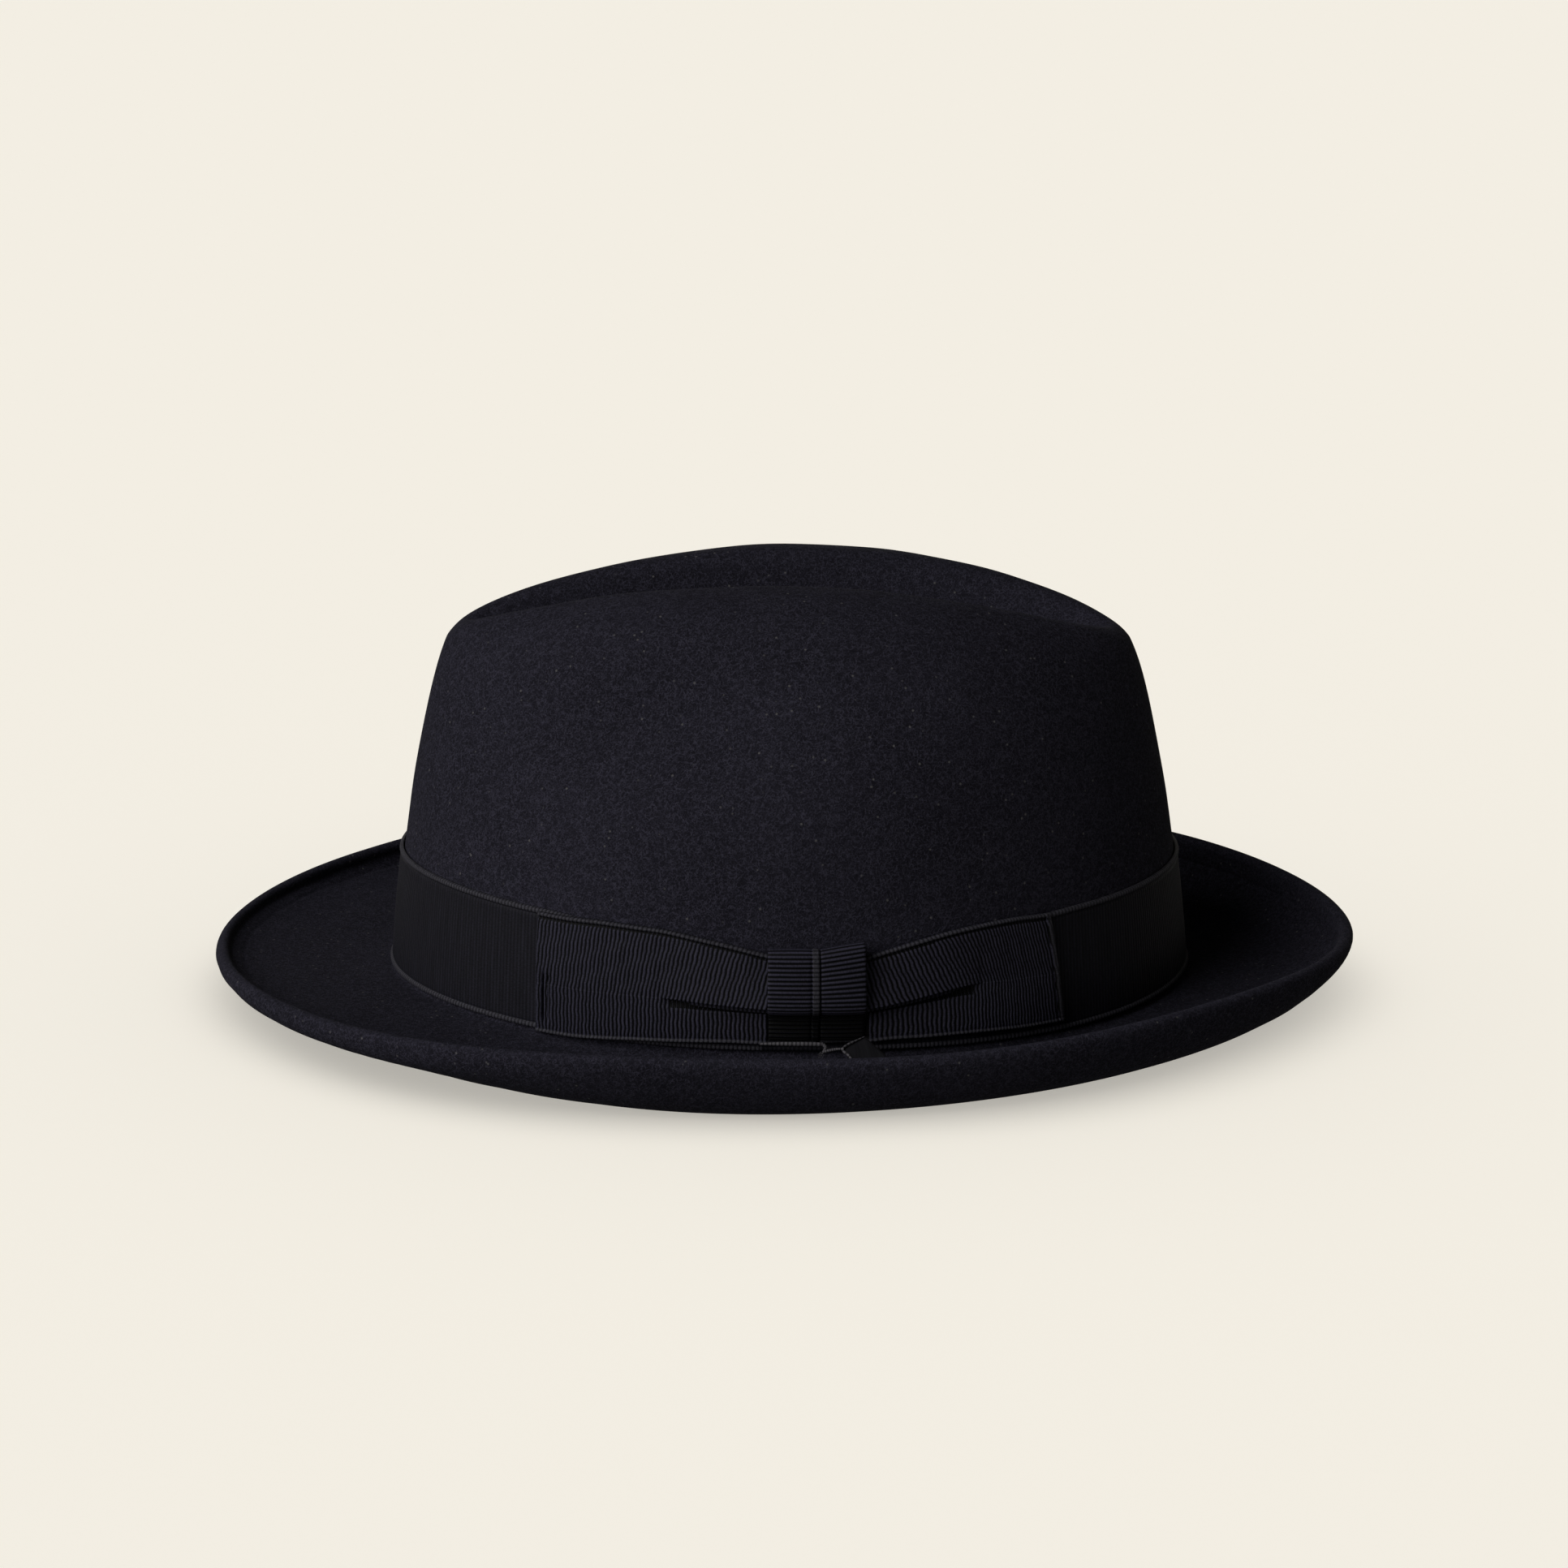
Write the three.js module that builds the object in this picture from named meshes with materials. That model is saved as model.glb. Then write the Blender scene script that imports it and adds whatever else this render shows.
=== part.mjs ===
// Black felt fedora with a grosgrain band and a flat bow, in millimetres.
// X runs from the front of the hat to its back, -Y is the wearer's left side with the bow, and Z is up.
// The origin is on the surface that the hat rests on, under the middle of the brim.
import * as THREE from "three";

// Head opening and felt
const HEAD_LENGTH = 204;
const HEAD_WIDTH = 163.6;
const FELT = 2.2;

// Brim: its flat width, the curl's height, the trough's depth and the thick edge
const BRIM_WIDTH = 45;
const BRIM_RISE = 10.5;
const BRIM_DIP = 11.5;
const LIP_THICKNESS = 3.6;
const LIP_ROLL = 7;
const FOOT_SWAY = 2;
const FOOT_FILLET = 1.5;
const REST_FLATTENING = 0.9;

// Crown: its crest, the pressed ridge round the dent, and the dent
const CROWN_HEIGHT = 106;
const CREST_DROP = 13.5;
const CREST_PEAK = -0.035;
const RIDGE_LENGTH = 171;
const RIDGE_WIDTH = 41;
const RIDGE_TAPER = 0.25;
const RIDGE_SET = 0.1;
const RIDGE_ROLL = 6;
const DENT_DEPTH = 22;
const DENT_LENGTH = 124;
const DENT_END_RISE = 0.45;

// Pinch at each front side of the crown, placed by shares of the crown's half length and height
const PINCH_DEPTH = 12;
const PINCH_ALONG = -0.35;
const PINCH_LENGTH = 0.5;
const PINCH_UP = 0.77;
const PINCH_HEIGHT = 0.15;
const PINCH_TILT = 0.1;

// Ribbon: band, wings, knot and tail
const RIBBON = 1;
const GAP = 0.3;
const BAND_FOOT = 1;
const BAND_HEIGHT = 30.5;
const BAND_WAIST = 6.5;
const BOW_BACK_OF_MIDDLE = 7;
const WING_FRONT_LENGTH = 73.5;
const WING_BACK_LENGTH = 64.5;
const WING_THICKNESS = 1.8;
const WING_LIFT = 2.4;
const CREASE_DEPTH = 0.9;
const KNOT_SEAT = 0.6;
const KNOT_TURN_WIDTH = 11.8;
const KNOT_BELOW = 1.6;
const KNOT_ABOVE = 1.6;
const KNOT_BEND = 2;
const TAIL_WIDTH = 7;
const TAIL_LENGTH = 9.5;
const TAIL_THICKNESS = 1.2;
const TAIL_TUCK = 2.2;

// Steps of the faceted surface
const ANGLE_STEPS = 64;
const BRIM_STEPS = 9;
const FOOT_STEPS = 2;
const WALL_STEPS = 8;
const RIDGE_STEPS = 2;
const DENT_STEPS = 6;
const BAND_STEPS = 3;
const WING_STEPS = 14;

// Sections of the brim, from the back of the hat round to its front.
// reach is a share of BRIM_WIDTH, rise of BRIM_RISE, dip of BRIM_DIP, curl of the reach, sway of FOOT_SWAY.
const BRIM_ROWS = [
  { reach: 0.91, rise: 0.82, dip: 0.44, curl: 0.94, sway: 0 },
  { reach: 0.8, rise: 1.02, dip: 0.48, curl: 1.05, sway: -0.3 },
  { reach: 0.785, rise: 0.96, dip: 0.65, curl: 1.06, sway: -0.4 },
  { reach: 0.76, rise: 0.77, dip: 0.99, curl: 1.06, sway: 0 },
  { reach: 0.9, rise: 0.72, dip: 0.63, curl: 1.05, sway: 0.15 },
  { reach: 0.945, rise: 0.4, dip: -0.02, curl: 1.06, sway: 0.5 },
  { reach: 0.97, rise: 0.4, dip: -0.08, curl: 1.01, sway: 0.35 },
];
const ROOT_REACH = 0.3;
const ROOT_DIP = 0.55;

// Sections of the crown's wall, from the back round to the front.
// At two handles of its curve, lean is the share of the way in from foot to ridge, rise that of the way up.
const WALL_ROWS = [
  { leanLow: 0.145, riseLow: 0.4, leanHigh: 0.555, riseHigh: 0.93 },
  { leanLow: 0.1, riseLow: 0.44, leanHigh: 0.38, riseHigh: 0.98 },
  { leanLow: 0.026, riseLow: 0.5, leanHigh: 0.24, riseHigh: 1.02 },
  { leanLow: 0.08, riseLow: 0.44, leanHigh: 0.36, riseHigh: 0.97 },
  { leanLow: 0.122, riseLow: 0.4, leanHigh: 0.61, riseHigh: 0.975 },
];

// Sections of a wing, from its outer end to the knot.
// foot and top are shares of BAND_HEIGHT above the band's foot, lift is the lower edge's share of
// WING_LIFT, crease the fold's share of CREASE_DEPTH.
const WING_ROWS = [
  { foot: 0.04, top: 0.99, lift: 0, crease: 0 },
  { foot: 0.055, top: 1, lift: 0.1, crease: 0 },
  { foot: 0.08, top: 0.98, lift: 0.35, crease: 0.1 },
  { foot: 0.09, top: 0.91, lift: 0.6, crease: 0.8 },
  { foot: 0.16, top: 0.82, lift: 0.7, crease: 1 },
];
// Layers of a wing's face, as shares of the way up, and the layer that its crease runs along.
const WING_LAYERS = [0, 0.25, 0.45, 0.7, 1];
const CREASE_LAYER = 2;

const felt = new THREE.MeshStandardMaterial({ name: "felt", color: 0x17171c, roughness: 0.95 });
const ribbon = new THREE.MeshStandardMaterial({ name: "ribbon", color: 0x131315, roughness: 0.6 });

const mix = (a, b, share) => a + (b - a) * share;
const clampShare = (value) => Math.min(1, Math.max(0, value));
const smooth = (share) => share * share * (3 - 2 * share);

// Smooth value round the hat of one column of a table whose rows run from the back to the front.
function roundHat(rows, column) {
  const last = rows.length - 1;
  const weight = (i) => (i === 0 || i === last ? 0.5 : 1);
  const weighted = (i, j) => weight(i) * rows[i][column] * Math.cos((Math.PI * i * j) / last);
  const terms = rows.map((_, j) => {
    const sum = rows.reduce((total, _row, i) => total + weighted(i, j), 0);
    return (2 / last) * weight(j) * sum;
  });
  return (angle) => terms.reduce((total, term, j) => total + term * Math.cos(j * angle), 0);
}

// Value of one column of a table at a share of the way down its rows, level at each row.
function alongTable(rows, column, share) {
  const place = clampShare(share) * (rows.length - 1);
  const row = Math.min(rows.length - 2, Math.floor(place));
  return mix(rows[row][column], rows[row + 1][column], smooth(place - row));
}

function cubic(p0, p1, p2, p3, share) {
  const left = 1 - share;
  return left ** 3 * p0 + 3 * share * left ** 2 * p1 + 3 * share ** 2 * left * p2 + share ** 3 * p3;
}

function cubicPoint(p0, p1, p2, p3, share) {
  const axis = (name) => cubic(p0[name], p1[name], p2[name], p3[name], share);
  return new THREE.Vector3(axis("x"), axis("y"), axis("z"));
}

// Steps of a small round that leaves from, bends at corner and arrives at to, without its two ends.
function roundCorner(from, corner, to, steps) {
  return Array.from({ length: steps }, (_, i) => {
    const share = (i + 1) / (steps + 1);
    return from.clone().lerp(corner, share).lerp(corner.clone().lerp(to, share), share);
  });
}

const brim = {
  reach: roundHat(BRIM_ROWS, "reach"),
  rise: roundHat(BRIM_ROWS, "rise"),
  dip: roundHat(BRIM_ROWS, "dip"),
  curl: roundHat(BRIM_ROWS, "curl"),
  sway: roundHat(BRIM_ROWS, "sway"),
};
const wall = {
  leanLow: roundHat(WALL_ROWS, "leanLow"),
  riseLow: roundHat(WALL_ROWS, "riseLow"),
  leanHigh: roundHat(WALL_ROWS, "leanHigh"),
  riseHigh: roundHat(WALL_ROWS, "riseHigh"),
};

// The crown's foot is an oval round the head opening. Angles start at the back and turn to the
// wearer's right.
const FOOT_HALF_LENGTH = HEAD_LENGTH / 2 + FELT;
const FOOT_HALF_WIDTH = HEAD_WIDTH / 2 + FELT;

function footPoint(angle) {
  const x = FOOT_HALF_LENGTH * Math.cos(angle);
  return new THREE.Vector3(x, FOOT_HALF_WIDTH * Math.sin(angle), FOOT_SWAY * brim.sway(angle));
}

function outward(angle) {
  const x = Math.cos(angle) / FOOT_HALF_LENGTH;
  const y = Math.sin(angle) / FOOT_HALF_WIDTH;
  return new THREE.Vector3(x, y, 0).normalize();
}

function brimPoint(angle, share) {
  const reach = BRIM_WIDTH * brim.reach(angle);
  const rise = BRIM_RISE * brim.rise(angle);
  const dip = BRIM_DIP * brim.dip(angle);
  const out = cubic(0, ROOT_REACH * reach, brim.curl(angle) * reach, reach, share);
  const up = cubic(0, -ROOT_DIP * dip, -dip, rise, share);
  const point = footPoint(angle).addScaledVector(outward(angle), out);
  point.z += up;
  return point;
}

function ridgePoint(angle) {
  const back = Math.cos(angle);
  const side = Math.sin(angle);
  return new THREE.Vector3(
    RIDGE_SET + (RIDGE_LENGTH / 2) * back,
    (RIDGE_WIDTH / 2) * side * (1 + RIDGE_TAPER * back),
    CROWN_HEIGHT - CREST_DROP * (back - CREST_PEAK) ** 2,
  );
}

function wallPoint(angle, share) {
  const foot = footPoint(angle);
  const ridge = ridgePoint(angle);
  const lean = cubic(0, wall.leanLow(angle), wall.leanHigh(angle), 1, share);
  const rise = cubic(0, wall.riseLow(angle), wall.riseHigh(angle), 1, share);
  const x = mix(foot.x, ridge.x, lean);
  const point = new THREE.Vector3(x, mix(foot.y, ridge.y, lean), mix(foot.z, ridge.z, rise));
  const along = x / (HEAD_LENGTH / 2) - PINCH_ALONG;
  const above = rise - PINCH_UP - PINCH_TILT * along;
  const press = PINCH_DEPTH * Math.exp(-((along / PINCH_LENGTH) ** 2) - (above / PINCH_HEIGHT) ** 2);
  return point.addScaledVector(outward(angle), -press * Math.sin(angle) ** 2);
}

// Height of the dent's floor line over the crown's foot, at the cosine of the angle.
function floorHeight(back) {
  const crest = CROWN_HEIGHT - CREST_DROP * ((back * DENT_LENGTH) / RIDGE_LENGTH - CREST_PEAK) ** 2;
  return crest - DENT_DEPTH * (1 - DENT_END_RISE * back * back);
}

function floorPoint(back) {
  return new THREE.Vector3(RIDGE_SET + (DENT_LENGTH / 2) * back, 0, floorHeight(back));
}

// Handles of the curve from the dent's rim to its floor, as shares of the way between them.
const DENT_HANDLE = { rimIn: 0.3, rimDown: 0.42, floorOut: 0.45 };

function dentPoint(angle, share) {
  const rim = wallPoint(angle, 1);
  const floor = floorPoint(Math.cos(angle));
  const span = floor.clone().sub(rim);
  const upper = new THREE.Vector3(DENT_HANDLE.rimIn, DENT_HANDLE.rimIn, DENT_HANDLE.rimDown);
  const lower = new THREE.Vector3(-DENT_HANDLE.floorOut, -DENT_HANDLE.floorOut, 0);
  const belowRim = rim.clone().add(span.clone().multiply(upper));
  const besideFloor = floor.clone().add(span.clone().multiply(lower));
  return cubicPoint(rim, belowRim, besideFloor, floor, share);
}

// Share of a curve that covers a given length from one of its ends, up to a limit.
function shareOfLength(curve, end, length) {
  const step = 0.001;
  const limit = 0.4;
  const speed = curve(end).distanceTo(curve(Math.abs(end - step))) / step;
  return Math.min(limit, length / speed);
}

function pointsAlong(curve, from, to, steps) {
  return Array.from({ length: steps + 1 }, (_, i) => curve(mix(from, to, i / steps)));
}

// Outer and upper side of the felt at one angle, from the lip over brim, wall and ridge to the dent.
function feltSection(angle) {
  const onBrim = (share) => brimPoint(angle, share);
  const onWall = (share) => wallPoint(angle, share);
  const inDent = (share) => dentPoint(angle, share);
  const brimStart = shareOfLength(onBrim, 0, FOOT_FILLET);
  const wallStart = shareOfLength(onWall, 0, FOOT_FILLET);
  const wallEnd = 1 - shareOfLength(onWall, 1, RIDGE_ROLL);
  const dentStart = shareOfLength(inDent, 0, RIDGE_ROLL);
  return [
    ...pointsAlong(onBrim, 1, brimStart, BRIM_STEPS),
    ...roundCorner(onBrim(brimStart), footPoint(angle), onWall(wallStart), FOOT_STEPS),
    ...pointsAlong(onWall, wallStart, wallEnd, WALL_STEPS),
    ...roundCorner(onWall(wallEnd), onWall(1), inDent(dentStart), RIDGE_STEPS),
    ...pointsAlong(inDent, dentStart, 1, DENT_STEPS),
  ];
}

const angleAt = (i) => (2 * Math.PI * i) / ANGLE_STEPS;
const wrap = (i) => (i + ANGLE_STEPS) % ANGLE_STEPS;

// Closed body from rows of points that run round the hat. A row may name a point of another place, so that
// two places share one vertex; a triangle that loses its area that way is left out.
function bodyFromRings(rings, sharedWith, closedLoop) {
  const positions = rings.flat().flatMap((point) => [point.x, point.y, point.z]);
  const index = [];
  const vertex = (row, column) => row * ANGLE_STEPS + sharedWith(row, wrap(column));
  const addTriangle = (a, b, c) => {
    if (a !== b && b !== c && c !== a) index.push(a, b, c);
  };
  const bands = closedLoop ? rings.length : rings.length - 1;
  for (let row = 0; row < bands; row += 1) {
    const next = (row + 1) % rings.length;
    for (let column = 0; column < ANGLE_STEPS; column += 1) {
      const [a, b] = [vertex(row, column), vertex(row, column + 1)];
      const [c, d] = [vertex(next, column + 1), vertex(next, column)];
      addTriangle(a, b, c);
      addTriangle(a, c, d);
    }
  }
  return geometryFrom(positions, index);
}

function geometryFrom(positions, index) {
  const geometry = new THREE.BufferGeometry();
  geometry.setAttribute("position", new THREE.Float32BufferAttribute(positions, 3));
  geometry.setIndex(index);
  return geometry;
}

// Unit normal of the dent's floor line.
function floorNormal(back) {
  const step = 0.01;
  const run = floorPoint(back + step).sub(floorPoint(back - step));
  return new THREE.Vector3(-run.z, 0, run.x).normalize();
}

// Unit normal of the outer side, by differences along the section and round the hat.
function outerNormal(column, row) {
  const section = sections[column];
  if (row === section.length - 1) return floorNormal(Math.cos(angleAt(column)));
  const round = sections[wrap(column + 1)][row].clone().sub(sections[wrap(column - 1)][row]);
  const inwards = section[row + 1].clone().sub(section[Math.max(0, row - 1)]);
  return round.cross(inwards).normalize();
}

function feltThickness(section, row) {
  const nearness = clampShare(1 - section[row].distanceTo(section[0]) / LIP_ROLL);
  return mix(FELT, LIP_THICKNESS, smooth(nearness));
}

// Half round that closes the lip from the under side up to the upper side, bulging away from the crown.
const LIP_TURNS = [135, 90, 45];

function lipRound(section, under) {
  const middle = section[0].clone().lerp(under[0], 0.5);
  const up = section[0].clone().sub(middle);
  const away = section[0].clone().sub(section[1]).setLength(LIP_THICKNESS / 2);
  return LIP_TURNS.map((degrees) => {
    const turn = THREE.MathUtils.degToRad(degrees);
    return middle.clone().addScaledVector(up, Math.cos(turn)).addScaledVector(away, Math.sin(turn));
  });
}

const sections = Array.from({ length: ANGLE_STEPS }, (_, i) => feltSection(angleAt(i)));
const undersides = sections.map((section, column) => section.map((point, row) =>
  point.clone().addScaledVector(outerNormal(column, row), -feltThickness(section, row))));
const lips = sections.map((section, column) => lipRound(section, undersides[column]));

// The crown's foot is drawn round the axes. The hat then stands on the trough of its brim, where the felt
// is pressed flat, with the middle of the brim over the origin.
const lowest = Math.min(...undersides.flat().map((point) => point.z));
const reaches = [...lips, ...undersides, ...sections].flat().map((point) => point.x);
const middle = (Math.min(...reaches) + Math.max(...reaches)) / 2;
const PLACE = new THREE.Vector3(-middle, 0, -lowest - REST_FLATTENING);

function feltBody() {
  const stand = (point) => {
    const placed = point.clone().add(PLACE);
    return placed.setZ(Math.max(0, placed.z));
  };
  const ringsOf = (lines) => lines[0].map((_, row) => lines.map((line) => stand(line[row])));
  const rings = [...ringsOf(undersides).reverse(), ...ringsOf(lips), ...ringsOf(sections)];
  // Both sides of the hat meet on the dent's floor line, in the first and the last ring.
  const onFloorLine = (row) => row === 0 || row === rings.length - 1;
  const beyondMiddle = (column) => column > ANGLE_STEPS / 2;
  const shared = (row, column) => (onFloorLine(row) && beyondMiddle(column) ? ANGLE_STEPS - column : column);
  return bodyFromRings(rings, shared, false);
}

// Point beside the crown's wall: a height over the crown's foot, and a distance out from the felt.
function besideWall(angle, height, out) {
  let low = 0;
  let high = 1;
  const rises = 30;
  for (let i = 0; i < rises; i += 1) {
    const middle = (low + high) / 2;
    if (wallPoint(angle, middle).z - footPoint(angle).z < height) low = middle;
    else high = middle;
  }
  return wallPoint(angle, low).addScaledVector(outward(angle), out).add(PLACE);
}

// Angle of the point that lies a given length round the foot from the middle of the wearer's left side.
function angleFromLeft(length) {
  const steps = 200;
  let angle = -Math.PI / 2;
  for (let i = 0; i < steps; i += 1) {
    const speed = Math.hypot(FOOT_HALF_LENGTH * Math.sin(angle), FOOT_HALF_WIDTH * Math.cos(angle));
    angle += length / steps / speed;
  }
  return angle;
}

const BAND_OUT = GAP + RIBBON;
const BOW_ANGLE = angleFromLeft(BOW_BACK_OF_MIDDLE);

// The band's upper edge is drawn down under the bow.
function bandHeight(angle) {
  const away = Math.abs(Math.atan2(Math.sin(angle - BOW_ANGLE), Math.cos(angle - BOW_ANGLE)));
  const wingSpan = angleFromLeft(WING_FRONT_LENGTH) + Math.PI / 2;
  return BAND_HEIGHT - BAND_WAIST * smooth(clampShare(1 - away / wingSpan));
}

function hatBand() {
  const ring = (share, out) => Array.from({ length: ANGLE_STEPS }, (_, column) => {
    const angle = angleAt(column);
    return besideWall(angle, mix(BAND_FOOT, BAND_FOOT + bandHeight(angle), share), out);
  });
  const rings = [];
  for (let i = 0; i <= BAND_STEPS; i += 1) rings.push(ring(i / BAND_STEPS, BAND_OUT));
  for (let i = BAND_STEPS; i >= 0; i -= 1) rings.push(ring(i / BAND_STEPS, GAP));
  return bodyFromRings(rings, (row, column) => column, true);
}

// Closed body from equal closed outlines set one after another, with flat ends.
function bodyFromOutlines(outlines) {
  const count = outlines[0].length;
  const positions = outlines.flat().flatMap((point) => [point.x, point.y, point.z]);
  const index = [];
  for (let row = 0; row < outlines.length - 1; row += 1) {
    for (let i = 0; i < count; i += 1) {
      const next = (i + 1) % count;
      const [a, b] = [row * count + i, row * count + next];
      const [c, d] = [a + count, b + count];
      index.push(a, b, d, a, d, c);
    }
  }
  const end = (outlines.length - 1) * count;
  const half = count / 2;
  for (let i = 0; i < half - 1; i += 1) {
    const [a, b, c, d] = [i, i + 1, count - 2 - i, count - 1 - i];
    index.push(a, d, c, a, c, b);
    index.push(end + a, end + b, end + c, end + a, end + c, end + d);
  }
  return geometryFrom(positions, index);
}

// The wings run under the knot, so they stand off the band there by the knot's own back and its seat.
const UNDER_KNOT = 2 * GAP + RIBBON + KNOT_SEAT;

// A wing of the bow, from its outer end to just short of the middle of the knot. direction is 1 to the back.
// Its table runs from the outer end to the side of the knot, and its last row holds on under the knot.
function bowWing(direction, length) {
  const underKnot = KNOT_TURN_WIDTH + GAP;
  const shares = Array.from({ length: WING_STEPS }, (_, i) => i / (WING_STEPS - 1));
  const places = [...shares.map((share) => mix(length, underKnot, share)), underKnot / 2, GAP / 2];
  const outlines = places.map((away) => {
    const row = (column) => alongTable(WING_ROWS, column, (length - away) / (length - underKnot));
    const angle = angleFromLeft(BOW_BACK_OF_MIDDLE + direction * away);
    const height = (level) => BAND_FOOT + BAND_HEIGHT * mix(row("foot"), row("top"), level);
    const seat = BAND_OUT + mix(GAP, UNDER_KNOT, row("crease"));
    const inner = (level) => seat + WING_LIFT * row("lift") * (1 - level);
    const pressed = (layer) => (layer === CREASE_LAYER ? CREASE_DEPTH * row("crease") : 0);
    const face = WING_LAYERS.map((level, layer) =>
      besideWall(angle, height(level), inner(level) + WING_THICKNESS - pressed(layer)));
    const back = WING_LAYERS.map((level) => besideWall(angle, height(level), inner(level)));
    return [...face, ...back.reverse()];
  });
  return bodyFromOutlines(direction > 0 ? outlines : outlines.reverse());
}

// Axes of a piece that sits on the band: out from the crown, up its wall, and along the band to the front.
function seatOnBand(angle, foot, top) {
  const low = besideWall(angle, foot, BAND_OUT);
  const middle = besideWall(angle, (foot + top) / 2, BAND_OUT);
  const up = besideWall(angle, top, BAND_OUT).sub(low).normalize();
  const along = new THREE.Vector3().crossVectors(outward(angle), up).normalize();
  const out = new THREE.Vector3().crossVectors(up, along);
  const bulge = Math.max(0, middle.sub(low).dot(out));
  return new THREE.Matrix4().makeBasis(out, up, along).setPosition(low.addScaledVector(out, bulge));
}

const KNOT_ROW = WING_ROWS[WING_ROWS.length - 1];
const KNOT_FOOT = BAND_FOOT + BAND_HEIGHT * KNOT_ROW.foot - KNOT_BELOW;
const KNOT_TOP = BAND_FOOT + BAND_HEIGHT * KNOT_ROW.top + KNOT_ABOVE;
const KNOT_LOWER_FRONT = UNDER_KNOT + WING_THICKNESS + WING_LIFT * KNOT_ROW.lift + GAP;
const KNOT_UPPER_FRONT = UNDER_KNOT + WING_THICKNESS + GAP;

// Section of the knot's loop, out from the band and up from its foot. grow is how far outside the wings
// it lies.
function knotOutline(grow) {
  const top = KNOT_TOP - KNOT_FOOT;
  const back = GAP + RIBBON - grow;
  const [lowerFront, upperFront] = [KNOT_LOWER_FRONT + grow, KNOT_UPPER_FRONT + grow];
  const bend = KNOT_BEND + grow;
  const outline = new THREE.Path();
  outline.moveTo(back, -grow);
  outline.lineTo(lowerFront - bend, -grow);
  outline.quadraticCurveTo(lowerFront, -grow, lowerFront, bend - grow);
  outline.lineTo(upperFront, top + grow - bend);
  outline.quadraticCurveTo(upperFront, top + grow, upperFront - bend, top + grow);
  outline.lineTo(back, top + grow);
  outline.closePath();
  return outline;
}

// One turn of the knot: a loop of ribbon round both wings. side is -1 for the turn towards the front.
function knotTurn(side) {
  const bends = 4;
  const loop = new THREE.Shape(knotOutline(RIBBON).getPoints(bends));
  loop.holes.push(knotOutline(0));
  const extent = { depth: KNOT_TURN_WIDTH, bevelEnabled: false, curveSegments: bends };
  const geometry = new THREE.ExtrudeGeometry(loop, extent);
  geometry.translate(0, 0, -KNOT_TURN_WIDTH / 2);
  const angle = angleFromLeft(BOW_BACK_OF_MIDDLE + (side * (KNOT_TURN_WIDTH + GAP)) / 2);
  return geometry.applyMatrix4(seatOnBand(angle, KNOT_FOOT, KNOT_TOP));
}

// The end of the ribbon, tucked under the back turn of the knot, runs down and out over the brim.
// Both directions are in the seat's own axes: out, up and to the front.
const TAIL_RUN = new THREE.Vector3(0.66, -0.4, -0.6);
const TAIL_ACROSS = new THREE.Vector3(-0.38, 0.26, -0.89);

function bowTail() {
  const run = TAIL_RUN.clone().normalize();
  const face = new THREE.Vector3().crossVectors(run, TAIL_ACROSS).normalize();
  const across = new THREE.Vector3().crossVectors(face, run);
  const tucked = new THREE.Vector3(KNOT_LOWER_FRONT - TAIL_TUCK, -RIBBON - GAP - TAIL_WIDTH / 4, 0);
  const geometry = new THREE.BoxGeometry(TAIL_LENGTH, TAIL_THICKNESS, TAIL_WIDTH);
  geometry.translate(TAIL_LENGTH / 2, -TAIL_THICKNESS / 2, 0);
  geometry.applyMatrix4(new THREE.Matrix4().makeBasis(run, face, across.negate()).setPosition(tucked));
  const angle = angleFromLeft(BOW_BACK_OF_MIDDLE + KNOT_TURN_WIDTH / 2);
  return geometry.applyMatrix4(seatOnBand(angle, KNOT_FOOT, KNOT_TOP));
}

const hat = new THREE.Group();
hat.name = "fedora";

function addPiece(name, geometry, material) {
  const mesh = new THREE.Mesh(geometry, material);
  mesh.name = name;
  hat.add(mesh);
}

addPiece("felt_body", feltBody(), felt);
addPiece("hat_band", hatBand(), ribbon);
addPiece("bow_wing_front", bowWing(-1, WING_FRONT_LENGTH), ribbon);
addPiece("bow_wing_back", bowWing(1, WING_BACK_LENGTH), ribbon);
addPiece("bow_knot_front", knotTurn(-1), ribbon);
addPiece("bow_knot_back", knotTurn(1), ribbon);
addPiece("bow_tail", bowTail(), ribbon);

export default hat;
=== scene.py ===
"""Black felt fedora: fine felt, ribbed band and flat bow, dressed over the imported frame.

X runs from the front of the hat to its back, -Y is the wearer's left side with the bow, and Z is up.
The classes hold their sizes in millimetres, and the meshes are in metres.
"""
import enum
import logging
import math
from dataclasses import dataclass, replace
from typing import Any, Mapping, Sequence, Union

import bmesh
import bpy
import numpy as np
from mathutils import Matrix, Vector


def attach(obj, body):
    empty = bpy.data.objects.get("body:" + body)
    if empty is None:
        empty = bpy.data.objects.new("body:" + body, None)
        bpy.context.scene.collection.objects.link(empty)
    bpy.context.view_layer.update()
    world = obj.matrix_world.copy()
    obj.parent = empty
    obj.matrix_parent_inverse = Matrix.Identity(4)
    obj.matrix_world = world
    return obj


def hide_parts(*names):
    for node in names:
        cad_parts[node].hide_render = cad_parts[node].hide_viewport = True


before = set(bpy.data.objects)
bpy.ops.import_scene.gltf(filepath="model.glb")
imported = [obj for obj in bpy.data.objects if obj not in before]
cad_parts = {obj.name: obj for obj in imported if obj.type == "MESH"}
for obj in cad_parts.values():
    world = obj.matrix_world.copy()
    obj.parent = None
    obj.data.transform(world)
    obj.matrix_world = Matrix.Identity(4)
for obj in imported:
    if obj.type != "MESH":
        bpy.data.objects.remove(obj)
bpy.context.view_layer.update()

log = logging.getLogger("fedora")

MM = 0.001
LEFT = -math.pi / 2
PALE = (0.871, 0.84, 0.768)
Array = np.ndarray
Number = Union[int, float]


class Slot(enum.Enum):
    """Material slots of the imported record."""

    FELT = "felt"
    RIBBON = "ribbon"


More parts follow.
